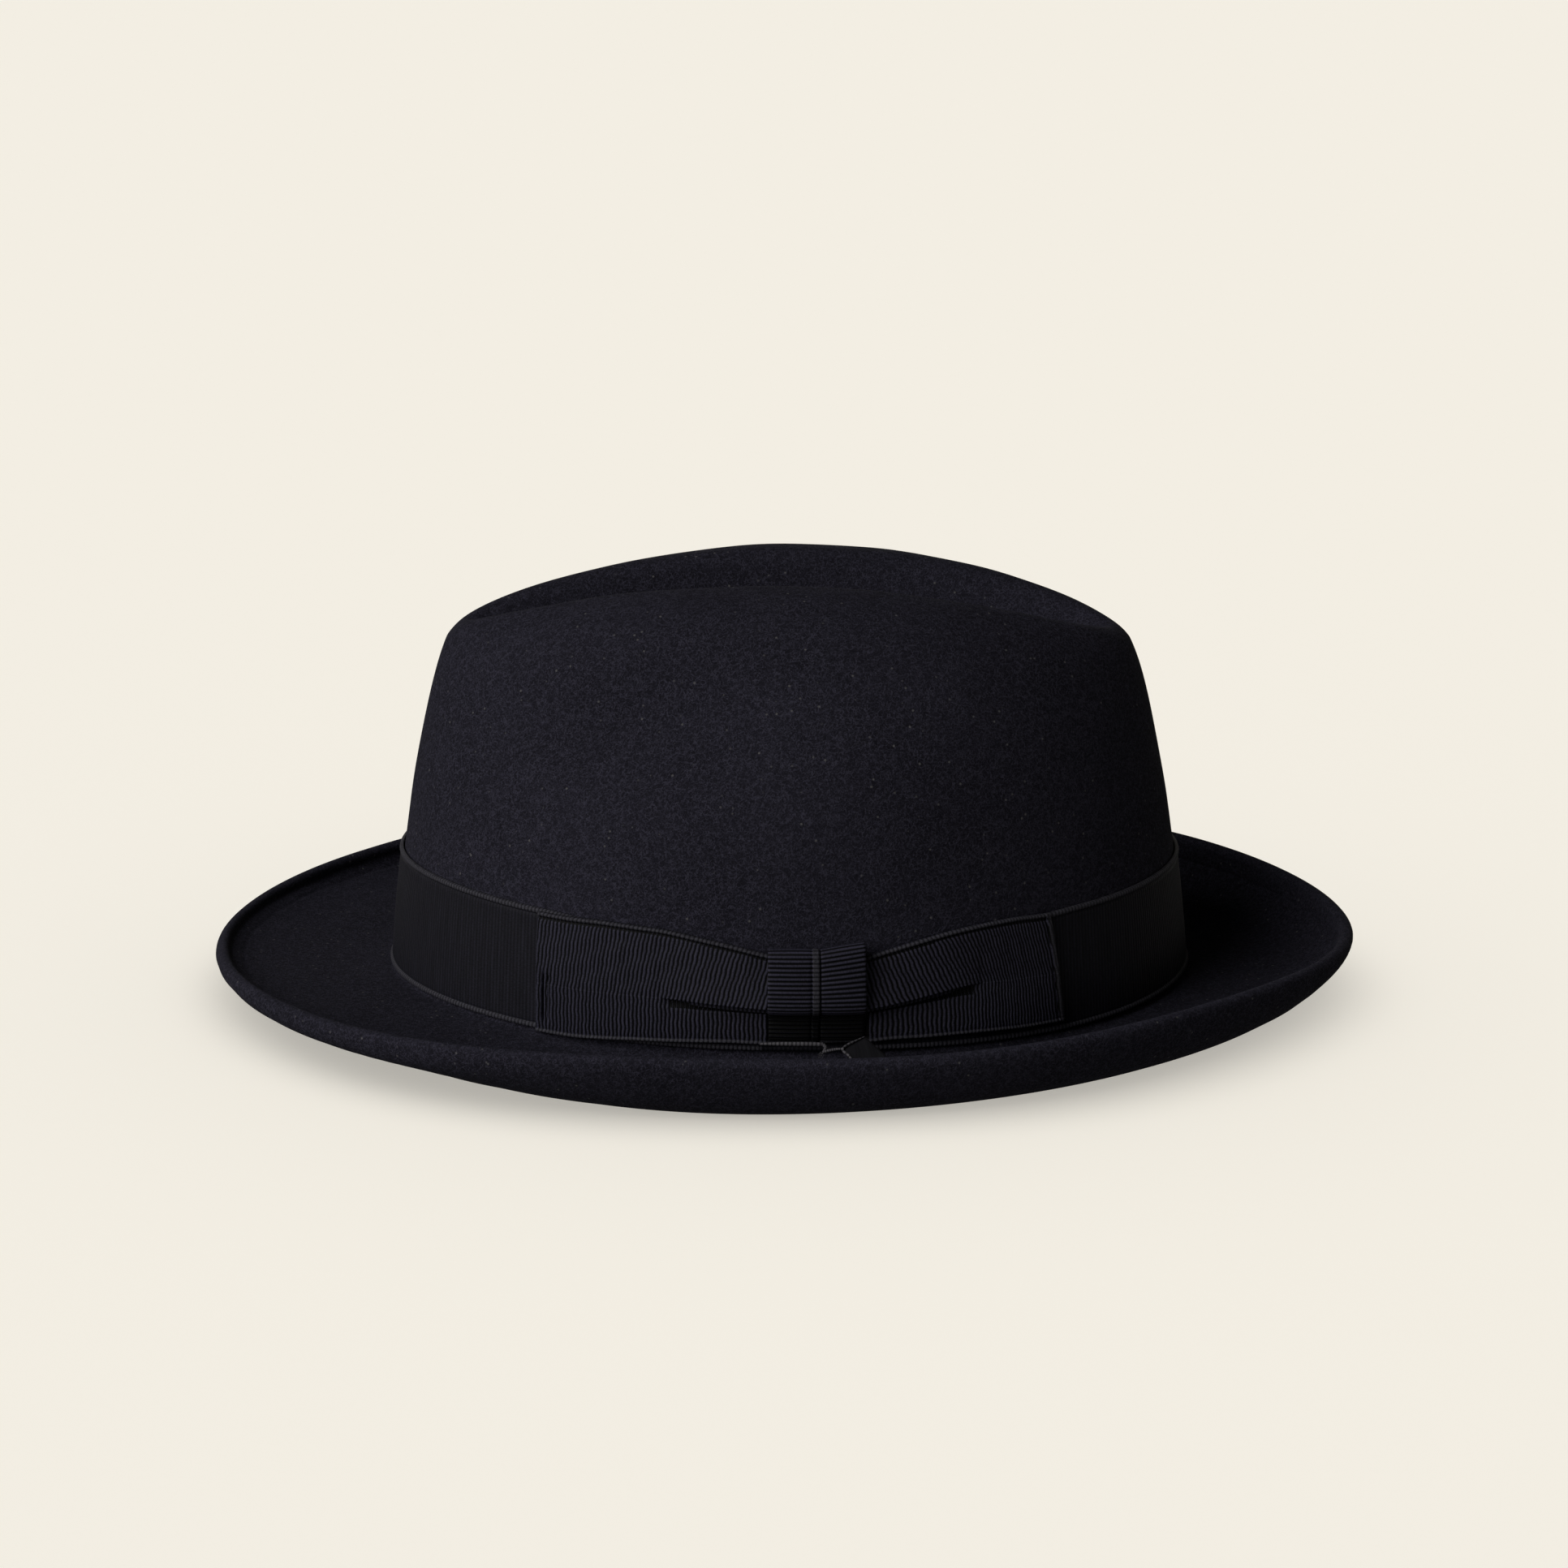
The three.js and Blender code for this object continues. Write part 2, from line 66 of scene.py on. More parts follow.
class Wing(enum.Enum):
    """The two wings of the bow, by the way that they run from the knot."""

    FRONT = -1
    BACK = 1


class Lights(enum.Enum):
    """What a lamp shines on, by how the floor is linked to it."""

    FLOOR_ALONE = "INCLUDE"
    ALL_BUT_FLOOR = "EXCLUDE"


# Numbers and curves


def smooth(share: Array) -> Array:
    """Blend from 0 to 1 that is level at both ends."""
    held = np.clip(share, 0.0, 1.0)
    return held * held * (3 - 2 * held)


def hump(distance: Array, width: float) -> Array:
    """Rounded hump of height 1 that falls away over about a width."""
    return np.exp(-((distance / width) ** 2))


def unit(vectors: Array) -> Array:
    """The vectors at length 1, along their last axis."""
    return vectors / np.maximum(np.linalg.norm(vectors, axis=-1, keepdims=True), 1e-12)


def cubic(p0: Array, p1: Array, p2: Array, p3: Array, share: Array) -> Array:
    """Point of a cubic curve at a share of its way."""
    left = 1 - share
    return left**3 * p0 + 3 * share * left**2 * p1 + 3 * share**2 * left * p2 + share**3 * p3


def round_hat(rows: Sequence[float], angle: Array) -> Array:
    """Smooth value round the hat of one column of a table.

    Args:
        rows: values from the back of the hat to its front.
        angle: angles round the hat, from the back.

    Returns:
        The values at those angles, the same on both sides of the hat.
    """
    column = np.asarray(rows, float)
    last = len(column) - 1
    index = np.arange(last + 1)
    weight = np.where((index == 0) | (index == last), 0.5, 1.0)
    total = np.zeros_like(angle)
    for j in index:
        term = 2 / last * weight[j] * np.sum(weight * column * np.cos(np.pi * index * j / last))
        total = total + term * np.cos(j * angle)
    return total


def even_path(corners: Sequence[tuple[float, float]], count: int) -> tuple[Array, Array]:
    """Smooth path through corners, at even steps of its length.

    Args:
        corners: points that the path passes.
        count: how many points it gets.

    Returns:
        The points, and the length of the path up to each.
    """
    p = np.asarray(corners, float)
    p = np.vstack([2 * p[0] - p[1], p, 2 * p[-1] - p[-2]])
    share = np.linspace(0, 1, 12, endpoint=False)[:, None]
    runs = []
    for a, b, c, d in zip(p[:-3], p[1:-2], p[2:-1], p[3:]):
        runs.append(cubic(b, b + (c - a) / 6, c - (d - b) / 6, c, share))
    line = np.vstack([*runs, p[-2:-1]])
    length = np.r_[0, np.cumsum(np.linalg.norm(np.diff(line, axis=0), axis=1))]
    steps = np.linspace(0, length[-1], count)
    return np.stack([np.interp(steps, length, line[:, k]) for k in range(line.shape[1])], 1), steps


def rib(phase: Array) -> Array:
    """Round tops and sharp valleys of the ribbon's ribs, from 0 to 1, a rib for each whole step."""
    return np.abs(np.sin(np.pi * phase)) ** 0.8


# Meshes


def grid_faces(rows: int, columns: int, close_rows: bool = False, close_columns: bool = False) -> Array:
    """Four-sided faces of a grid of vertices.

    Args:
        rows: number of rows of vertices.
        columns: vertices in each row.
        close_rows: whether the last row joins the first.
        close_columns: whether the last column joins the first.

    Returns:
        Vertex indices, a face in each line.
    """
    r = np.arange(rows if close_rows else rows - 1)[:, None]
    c = np.arange(columns if close_columns else columns - 1)[None, :]
    down, right = (r + 1) % rows, (c + 1) % columns
    corners = [r * columns + c, r * columns + right, down * columns + right, down * columns + c]
    return np.stack([np.broadcast_to(k, (r.shape[0], c.shape[1])) for k in corners], -1).reshape(-1, 4)


def make_piece(
    name: str, points: Array, faces: Sequence[Sequence[int]], marks: Mapping[str, Array], weld: bool = False
) -> bpy.types.Object:
    """Smooth mesh object with marks that its finish reads.

    Args:
        name: the piece's name.
        points: vertices in millimetres.
        faces: vertex indices of each face.
        marks: pairs of numbers at each vertex, kept as UV maps by name.
        weld: whether vertices at one place are joined.

    Returns:
        The object, linked to the scene.
    """
    mesh = bpy.data.meshes.new(name)
    mesh.from_pydata((points.reshape(-1, 3) * MM).tolist(), [], [list(map(int, f)) for f in faces])
    corner_vertex = np.zeros(len(mesh.loops), np.int32)
    mesh.loops.foreach_get("vertex_index", corner_vertex)
    for label, values in marks.items():
        layer = mesh.uv_layers.new(name=label)
        layer.data.foreach_set("uv", values.reshape(-1, 2)[corner_vertex].astype(np.float32).ravel())
    shaped = bmesh.new()
    shaped.from_mesh(mesh)
    if weld:
        bmesh.ops.remove_doubles(shaped, verts=shaped.verts, dist=0.01 * MM)
    bmesh.ops.recalc_face_normals(shaped, faces=shaped.faces)
    shaped.to_mesh(mesh)
    shaped.free()
    mesh.polygons.foreach_set("use_smooth", np.ones(len(mesh.polygons), bool))
    mesh.update()
    piece = bpy.data.objects.new(name, mesh)
    bpy.context.scene.collection.objects.link(piece)
    return piece


def dress(piece: bpy.types.Object, material: bpy.types.Material, slot: Slot, *nodes: str) -> None:
    """Gives a piece its finish, and sets it on the hat in place of its CAD nodes."""
    piece.data.materials.append(material)
    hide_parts(*nodes)
    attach(piece, "root")
    log.info("%s: %d faces, replaces %s", piece.name, len(piece.data.polygons), ", ".join(nodes) or "nothing")


# Shader graph


class Value:
    """Output socket of a shader node. Arithmetic on it adds Math nodes."""

    def __init__(self, graph: "Graph", socket: bpy.types.NodeSocket) -> None:
        """Wraps a socket of a graph."""
        self.graph = graph
        self.socket = socket

    def _math(self, operation: str, *terms: Union["Value", Number]) -> "Value":
        """Result of a Math node on the terms."""
        return self.graph.node("ShaderNodeMath", {"operation": operation}, dict(enumerate(terms)))

    def __add__(self, other: Union["Value", Number]) -> "Value":
        """Sum."""
        return self._math("ADD", self, other)

    def __radd__(self, other: Number) -> "Value":
        """Sum with a number on the left."""
        return self._math("ADD", other, self)

    def __sub__(self, other: Union["Value", Number]) -> "Value":
        """Difference."""
        return self._math("SUBTRACT", self, other)

    def __rsub__(self, other: Number) -> "Value":
        """Difference from a number."""
        return self._math("SUBTRACT", other, self)

    def __mul__(self, other: Union["Value", Number]) -> "Value":
        """Product."""
        return self._math("MULTIPLY", self, other)

    def __rmul__(self, other: Number) -> "Value":
        """Product with a number on the left."""
        return self._math("MULTIPLY", other, self)

    def __truediv__(self, other: Union["Value", Number]) -> "Value":
        """Quotient."""
        return self._math("DIVIDE", self, other)

    def __rtruediv__(self, other: Number) -> "Value":
        """Quotient of a number."""
        return self._math("DIVIDE", other, self)

    def __pow__(self, other: Union["Value", Number]) -> "Value":
        """Power."""
        return self._math("POWER", self, other)

    def below(self, limit: Number) -> "Value":
        """1 where the value is less than the limit, or else 0."""
        return self._math("LESS_THAN", self, limit)

    def rib(self) -> "Value":
        """Ribs with round tops, one for each whole step of the value."""
        return self._math("ABSOLUTE", self._math("SINE", self * math.pi))

    def contour(self, level: Number, width: Number) -> "Value":
        """Thin line along the places where the value passes a level."""
        off = self._math("ABSOLUTE", self - level)
        return 1 - off.ramp(0.0, width)

    def ramp(self, low: Number, high: Number) -> "Value":
        """Smooth rise from 0 at the low value to 1 at the high one."""
        sockets = {"Value": self, "From Min": low, "From Max": high}
        return self.graph.node("ShaderNodeMapRange", {"interpolation_type": "SMOOTHSTEP"}, sockets)


class Graph:
    """Node tree of one material, with its surface shader."""

    def __init__(self, name: str, fixed: Mapping[str, Any]) -> None:
        """Starts a material.

        Args:
            name: the material's name.
            fixed: values that are the same all over, by socket of the surface shader.
        """
        self.material = bpy.data.materials.new(name)
        self.material.use_nodes = True
        self.tree = self.material.node_tree
        self.shader = self.tree.nodes["Principled BSDF"]
        for socket, value in fixed.items():
            self.shader.inputs[socket].default_value = value

    @classmethod
    def of_tree(cls, tree: bpy.types.NodeTree, shader: bpy.types.Node) -> "Graph":
        """Graph on a tree that is there already, such as the sky's."""
        graph = cls.__new__(cls)
        graph.tree = tree
        graph.shader = shader
        return graph

    def node(
        self,
        kind: str,
        settings: Mapping[str, Any],
        sockets: Mapping[Union[str, int], Any],
        output: Union[str, int] = 0,
    ) -> Value:
        """Adds a node.

        Args:
            kind: the node's type.
            settings: what is set on the node itself before its sockets.
            sockets: values or links of its inputs, by name or place.
            output: the output that is wanted.

        Returns:
            That output.
        """
        made = self.tree.nodes.new(kind)
        for key, value in settings.items():
            setattr(made, key, value)
        for key, value in sockets.items():
            if isinstance(value, Value):
                self.tree.links.new(value.socket, made.inputs[key])
            else:
                made.inputs[key].default_value = value
        return Value(self, made.outputs[output])

    def place(self) -> Value:
        """Position on the object, in metres."""
        return self.node("ShaderNodeTexCoord", {}, {}, "Object")

    def mark(self, name: str) -> tuple[Value, Value]:
        """The two numbers of a mark on the mesh."""
        both = self.node("ShaderNodeUVMap", {"uv_map": name}, {})
        first = self.node("ShaderNodeSeparateXYZ", {}, {0: both}, "X")
        second = self.node("ShaderNodeSeparateXYZ", {}, {0: both}, "Y")
        return first, second

    def noise(self, scale: float, detail: float, roughness: float = 0.5, at: Value | None = None) -> Value:
        """Cloudy noise from about 0 to 1, its scale in features a metre."""
        sockets = {"Vector": at or self.place(), "Scale": scale, "Detail": detail, "Roughness": roughness}
        return self.node("ShaderNodeTexNoise", {}, sockets, "Fac")

    def vector(self, x: Value | Number, y: Value | Number, z: Value | Number) -> Value:
        """Vector of three values."""
        return self.node("ShaderNodeCombineXYZ", {}, {0: x, 1: y, 2: z})

    def blend(self, share: Value | Number, low: Any, high: Any) -> Value:
        """Colour between two colours."""
        sockets = {"Factor": share, 6: low, 7: high}
        return self.node("ShaderNodeMix", {"data_type": "RGBA"}, sockets, 2)

    def feed(self, socket: str, value: Value) -> None:
        """Links a value to the surface shader."""
        self.tree.links.new(value.socket, self.shader.inputs[socket])

    def relief(self, height: Value, distance_mm: float, strength: float = 1.0) -> None:
        """Bumps the surface by a height whose 1 stands for a distance."""
        sockets = {"Height": height, "Distance": distance_mm * MM, "Strength": strength}
        self.feed("Normal", self.node("ShaderNodeBump", {}, sockets))


Colour = tuple[float, float, float, float]


def shade(colour: Colour, share: float) -> Colour:
    """The colour made darker or lighter."""
    return (colour[0] * share, colour[1] * share, colour[2] * share, 1.0)


@dataclass(frozen=True)
class FeltFinish:
    """Brushed black fur felt: thin curled fibres on a dark nap, specks of lint, and a paler lip.

    It reads the mark "lip" (mm round the lip, mm in from the lip)."""

    colour: Colour = (0.0056, 0.0054, 0.0080, 1.0)
    nap_range: tuple[float, float] = (0.35, 2.7)
    nap_base: float = 0.2
    curl_per_m: float = 640.0
    curl_line: float = 0.05
    curl_share: float = 0.5
    fine_curl_per_m: float = 1250.0
    fine_curl_line: float = 0.08
    fine_curl_share: float = 0.35
    fibre_light: float = 1.25
    mottle_per_m: float = 520.0
    mottle_light: float = 0.4
    cloud_per_m: float = 26.0
    cloud_light: float = 0.25
    lint: Colour = (0.036, 0.035, 0.037, 1.0)
    lint_per_m: float = 300.0
    lint_size: float = 0.13
    lint_patches: float = 0.35
    lint_rarity: tuple[float, float] = (0.3, 0.55)
    lip_width: float = 4.2
    lip_light: float = 0.12
    hatch_pitch: float = 1.5
    hatch_width: float = 0.9
    relief_mm: float = 0.3

    def material(self) -> bpy.types.Material:
        """Builds the felt's material."""
        fixed = {
            "Specular IOR Level": 0.02,
            "Sheen Weight": 0.003,
            "Sheen Roughness": 0.5,
            "Sheen Tint": (0.75, 0.78, 1.0, 1.0),
        }
        graph = Graph("brushed_felt", fixed)
        curls = graph.noise(self.curl_per_m, 2, 0.6).contour(0.5, self.curl_line)
        fine = graph.noise(self.fine_curl_per_m, 1.5, 0.6).contour(0.5, self.fine_curl_line)
        fibres = curls * self.curl_share + fine * self.fine_curl_share
        mottle = graph.noise(self.mottle_per_m, 3, 0.65)
        cloud = graph.noise(self.cloud_per_m, 2)
        along, inward = graph.mark("lip")
        lip = inward.ramp(-self.lip_width, 0.0) * (1 - inward.ramp(self.lip_width - 1.0, self.lip_width))
        hatch = inward.contour(self.lip_width, self.hatch_width) * (along / self.hatch_pitch).rib()
        tone = self.nap_base + fibres * self.fibre_light + (mottle - 0.5) * self.mottle_light
        tone = tone + (cloud - 0.5) * self.cloud_light + lip * self.lip_light + hatch * self.lip_light
        nap = graph.blend(tone, *(shade(self.colour, share) for share in self.nap_range))
        sockets = {"Vector": graph.place(), "Scale": self.lint_per_m}
        distance = graph.node("ShaderNodeTexVoronoi", {"feature": "F1"}, sockets, "Distance")
        rare = graph.noise(self.lint_per_m * self.lint_patches, 0).ramp(*self.lint_rarity)
        lint = (1 - distance.ramp(self.lint_size * 0.4, self.lint_size)) * rare
        graph.feed("Base Color", graph.blend(lint, nap, self.lint))
        graph.feed("Roughness", 0.85 + 0.15 * mottle)
        graph.relief(fibres * 0.5 + mottle * 0.5 + hatch * 0.3, self.relief_mm)
        return graph.material


@dataclass(frozen=True)
class RibbonFinish:
    """Black ribbed ribbon with paler woven edges, its rib tops painted lighter as a highlight, the hollows
    between the ribs painted near-black as shade, and a long streaky noise painted on as sheen. Its weave is
    plainer where ribbed is less than 1.

    It reads the marks "weave" (rib count, mm across) and "edge" (distance from the nearer woven edge over the
    width of that edge, mm from a cut and stitched end)."""

    name: str = "ribbed_ribbon"
    # top is a painted highlight for the rib tops, and the colour after it a painted shade for the hollows
    # between the ribs.
    top: Colour = (0.0145, 0.014, 0.0225, 1.0)
    valley_shade: Colour = (0.0002, 0.0002, 0.0002, 1.0)
    edge: Colour = (0.021, 0.0205, 0.026, 1.0)
    strip: float = 1.5
    thread_per_mm: float = 3.2
    sheen_streak_per_mm: float = 0.08
    ribbed: float = 1.0
    plain_light: float = 0.45
    gloss: float = 0.04
    relief_mm: float = 0.12

    def material(self) -> bpy.types.Material:
        """Builds the ribbon's material."""
        fixed = {"Specular IOR Level": self.gloss, "Sheen Weight": 0.005, "Sheen Roughness": 0.4}
        graph = Graph(self.name, fixed)
        count, across = graph.mark("weave")
        from_edge, from_end = graph.mark("edge")
        ribs = count.rib()
        threads = graph.noise(1.0, 3, 0.6, graph.vector(count * 1.3, across * self.thread_per_mm, 0))
        sheen_streaks = graph.noise(1.0, 2, 0.5, graph.vector(count * 1.0, across * self.sheen_streak_per_mm, 3.0))
        # Painted light: the rib tops get the lighter top colour as a highlight and the hollows the near-black
        # colour as shade; the long noise across the ribs is painted sheen.
        lit = ribs.ramp(0.25, 1.0) ** 1.3 * self.ribbed + self.plain_light * (1 - self.ribbed)
        body = graph.blend(lit * (threads * 2.2 - 0.2) * (0.4 + sheen_streaks * 1.2), self.valley_shade, self.top)
        woven = 1 - (1 - from_edge.below(1.0)) * (1 - from_end.below(self.strip))
        # The dots of the woven edges are painted lighter on the rib tops in the same way, as a painted
        # highlight.
        dots = (ribs.ramp(0.2, 0.9) * 0.8 + 0.2) * (threads * 2.4 - 0.4)
        bead = graph.blend(dots, shade(self.edge, 0.12), self.edge)
        graph.feed("Base Color", graph.blend(woven, body, bead))
        graph.feed("Roughness", 0.5 + threads * 0.25)
        graph.relief(threads * 0.6 + ribs * 0.4, self.relief_mm)
        return graph.material


@dataclass(frozen=True)
class FloorFinish:
    """Matt pale floor that is lit evenly from within, so that shadows on it stay faint."""

    colour: Colour
    albedo: float
    glow: float

    def material(self) -> bpy.types.Material:
        """Builds the material."""
        fixed = {
            "Specular IOR Level": 0.0,
            "Roughness": 1.0,
            "Emission Color": self.colour,
            "Emission Strength": self.glow,
        }
        graph = Graph("pale_floor", fixed)
        grain = graph.noise(900.0, 2)
        low, high = shade(self.colour, self.albedo * 0.97), shade(self.colour, self.albedo)
        graph.feed("Base Color", graph.blend(grain, low, high))
        return graph.material


# The form of the hat


@dataclass(frozen=True)
class HatForm:
    """Outer form of the felt, as in the part's source, and the places on it."""

    head_length: float = 204.0
    head_width: float = 163.6
    felt: float = 2.2
    lip: float = 3.6
    lip_roll: float = 7.0
    brim_width: float = 45.0
    brim_rise: float = 10.5
    brim_dip: float = 11.5
    foot_sway: float = 2.0
    foot_fillet: float = 1.5
    rest_flattening: float = 0.9
    crown_height: float = 106.0
    crest_drop: float = 13.5
    crest_peak: float = -0.035
    ridge_length: float = 171.0
    ridge_width: float = 41.0
    ridge_taper: float = 0.25
    ridge_set: float = 0.1
    ridge_roll: float = 4.2
    dent_depth: float = 22.0
    dent_length: float = 124.0
    dent_end_rise: float = 0.45
    pinch_depth: float = 12.0
    pinch_along: float = -0.35
    pinch_length: float = 0.5
    pinch_up: float = 0.77
    pinch_height: float = 0.15
    pinch_tilt: float = 0.1
    root_reach: float = 0.3
    root_dip: float = 0.55
    place: tuple[float, float, float] = (0.0, 0.0, 0.0)
    reach: tuple[float, ...] = (0.91, 0.8, 0.785, 0.76, 0.9, 0.945, 0.97)
    rise: tuple[float, ...] = (0.82, 1.02, 0.96, 0.77, 0.72, 0.4, 0.4)
    dip: tuple[float, ...] = (0.44, 0.48, 0.65, 0.99, 0.63, -0.02, -0.08)
    curl: tuple[float, ...] = (0.94, 1.05, 1.06, 1.06, 1.05, 1.06, 1.01)
    sway: tuple[float, ...] = (0.0, -0.3, -0.4, 0.0, 0.15, 0.5, 0.35)
    lean_low: tuple[float, ...] = (0.145, 0.1, 0.026, 0.08, 0.122)
    rise_low: tuple[float, ...] = (0.4, 0.44, 0.5, 0.44, 0.4)
    lean_high: tuple[float, ...] = (0.555, 0.38, 0.24, 0.36, 0.61)
    rise_high: tuple[float, ...] = (0.93, 0.98, 1.02, 0.97, 0.975)

    @property
    def half_length(self) -> float:
        """Half length of the crown's foot."""
        return self.head_length / 2 + self.felt

    @property
    def half_width(self) -> float:
        """Half width of the crown's foot."""
        return self.head_width / 2 + self.felt

    def foot(self, angle: Array) -> Array:
        """Points of the oval where the crown meets the brim."""
        sway = self.foot_sway * round_hat(self.sway, angle)
        return np.stack([self.half_length * np.cos(angle), self.half_width * np.sin(angle), sway], -1)

    def outward(self, angle: Array) -> Array:
        """Level unit vectors that point away from the crown."""
        along, aside = np.cos(angle) / self.half_length, np.sin(angle) / self.half_width
        return unit(np.stack([along, aside, 0 * angle], -1))

    def brim(self, angle: Array, share: Array) -> Array:
        """Upper side of the brim, at a share of the way out."""
        reach = self.brim_width * round_hat(self.reach, angle)
        dip = self.brim_dip * round_hat(self.dip, angle)
        rise = self.brim_rise * round_hat(self.rise, angle)
        curl = round_hat(self.curl, angle)
        out = cubic(0, self.root_reach * reach, curl * reach, reach, share)
        up = cubic(0, -self.root_dip * dip, -dip, rise, share)
        point = self.foot(angle) + self.outward(angle) * out[..., None]
        point[..., 2] += up
        return point

    def ridge(self, angle: Array) -> Array:
        """Pressed ridge round the dent."""
        back = np.cos(angle)
        x = self.ridge_set + self.ridge_length / 2 * back
        y = self.ridge_width / 2 * np.sin(angle) * (1 + self.ridge_taper * back)
        return np.stack([x, y, self.crown_height - self.crest_drop * (back - self.crest_peak) ** 2], -1)

    def wall(self, angle: Array, share: Array) -> Array:
        """Outer side of the crown's wall, at a share of the way up, with the front pinches."""
        foot, ridge = self.foot(angle), self.ridge(angle)
        lean = cubic(0, round_hat(self.lean_low, angle), round_hat(self.lean_high, angle), 1, share)
        rise = cubic(0, round_hat(self.rise_low, angle), round_hat(self.rise_high, angle), 1, share)
        point = foot + (ridge - foot) * np.stack([lean, lean, rise], -1)
        along = point[..., 0] / (self.head_length / 2) - self.pinch_along
        above = rise - self.pinch_up - self.pinch_tilt * along
        press = self.pinch_depth * hump(along, self.pinch_length) * hump(above, self.pinch_height)
        return point - self.outward(angle) * (press * np.sin(angle) ** 2)[..., None]

    def floor(self, back: Array) -> Array:
        """Floor line of the dent, at the cosine of the angle."""
        crest = back * self.dent_length / self.ridge_length - self.crest_peak
        height = self.crown_height - self.crest_drop * crest**2
        z = height - self.dent_depth * (1 - self.dent_end_rise * back**2)
        return np.stack([self.ridge_set + self.dent_length / 2 * back, 0 * back, z], -1)

    def dent(self, angle: Array, share: Array) -> Array:
        """Side of the dent, at a share of the way from its rim to its floor line."""
        rim = self.wall(angle, np.ones_like(share))
        floor = self.floor(np.cos(angle))
        span = floor - rim
        below_rim = rim + span * np.array([0.3, 0.3, 0.42])
        beside_floor = floor - span * np.array([0.45, 0.45, 0.0])
        return cubic(rim, below_rim, beside_floor, floor, share[..., None])

    def beside_wall(self, angle: Array, height: Array, out: Array | float) -> Array:
        """Points beside the crown's wall.

        Args:
            angle: an angle for each column.
            height: heights over the crown's foot, rows by columns.
            out: distances out from the felt, of the same shape.

        Returns:
            The points, rows by columns, where the hat stands.
        """
        shares = np.linspace(0, 0.75, 90)
        line = self.wall(angle[None, :] + 0 * shares[:, None], shares[:, None] + 0 * angle[None, :])
        above = line[..., 2] - self.foot(angle)[None, :, 2]
        point = np.empty(height.shape + (3,))
        for column in range(len(angle)):
            for axis in range(3):
                point[:, column, axis] = np.interp(height[:, column], above[:, column], line[:, column, axis])
        low = np.minimum(height, 0.0)
        point[..., 2] += low
        offset = np.broadcast_to(out, height.shape)[..., None]
        return point + self.outward(angle)[None] * offset + np.array(self.place)

    def angle_from_left(self, length: Array) -> Array:
        """Angles of points a given length round the foot from the middle of the left side."""
        angles = np.linspace(LEFT - 2.2, LEFT + 2.2, 4001)
        speed = np.hypot(self.half_length * np.sin(angles), self.half_width * np.cos(angles))
        run = np.r_[0, np.cumsum((speed[1:] + speed[:-1]) / 2 * np.diff(angles))]
        run -= np.interp(LEFT, angles, run)
        return np.interp(length, run, angles)


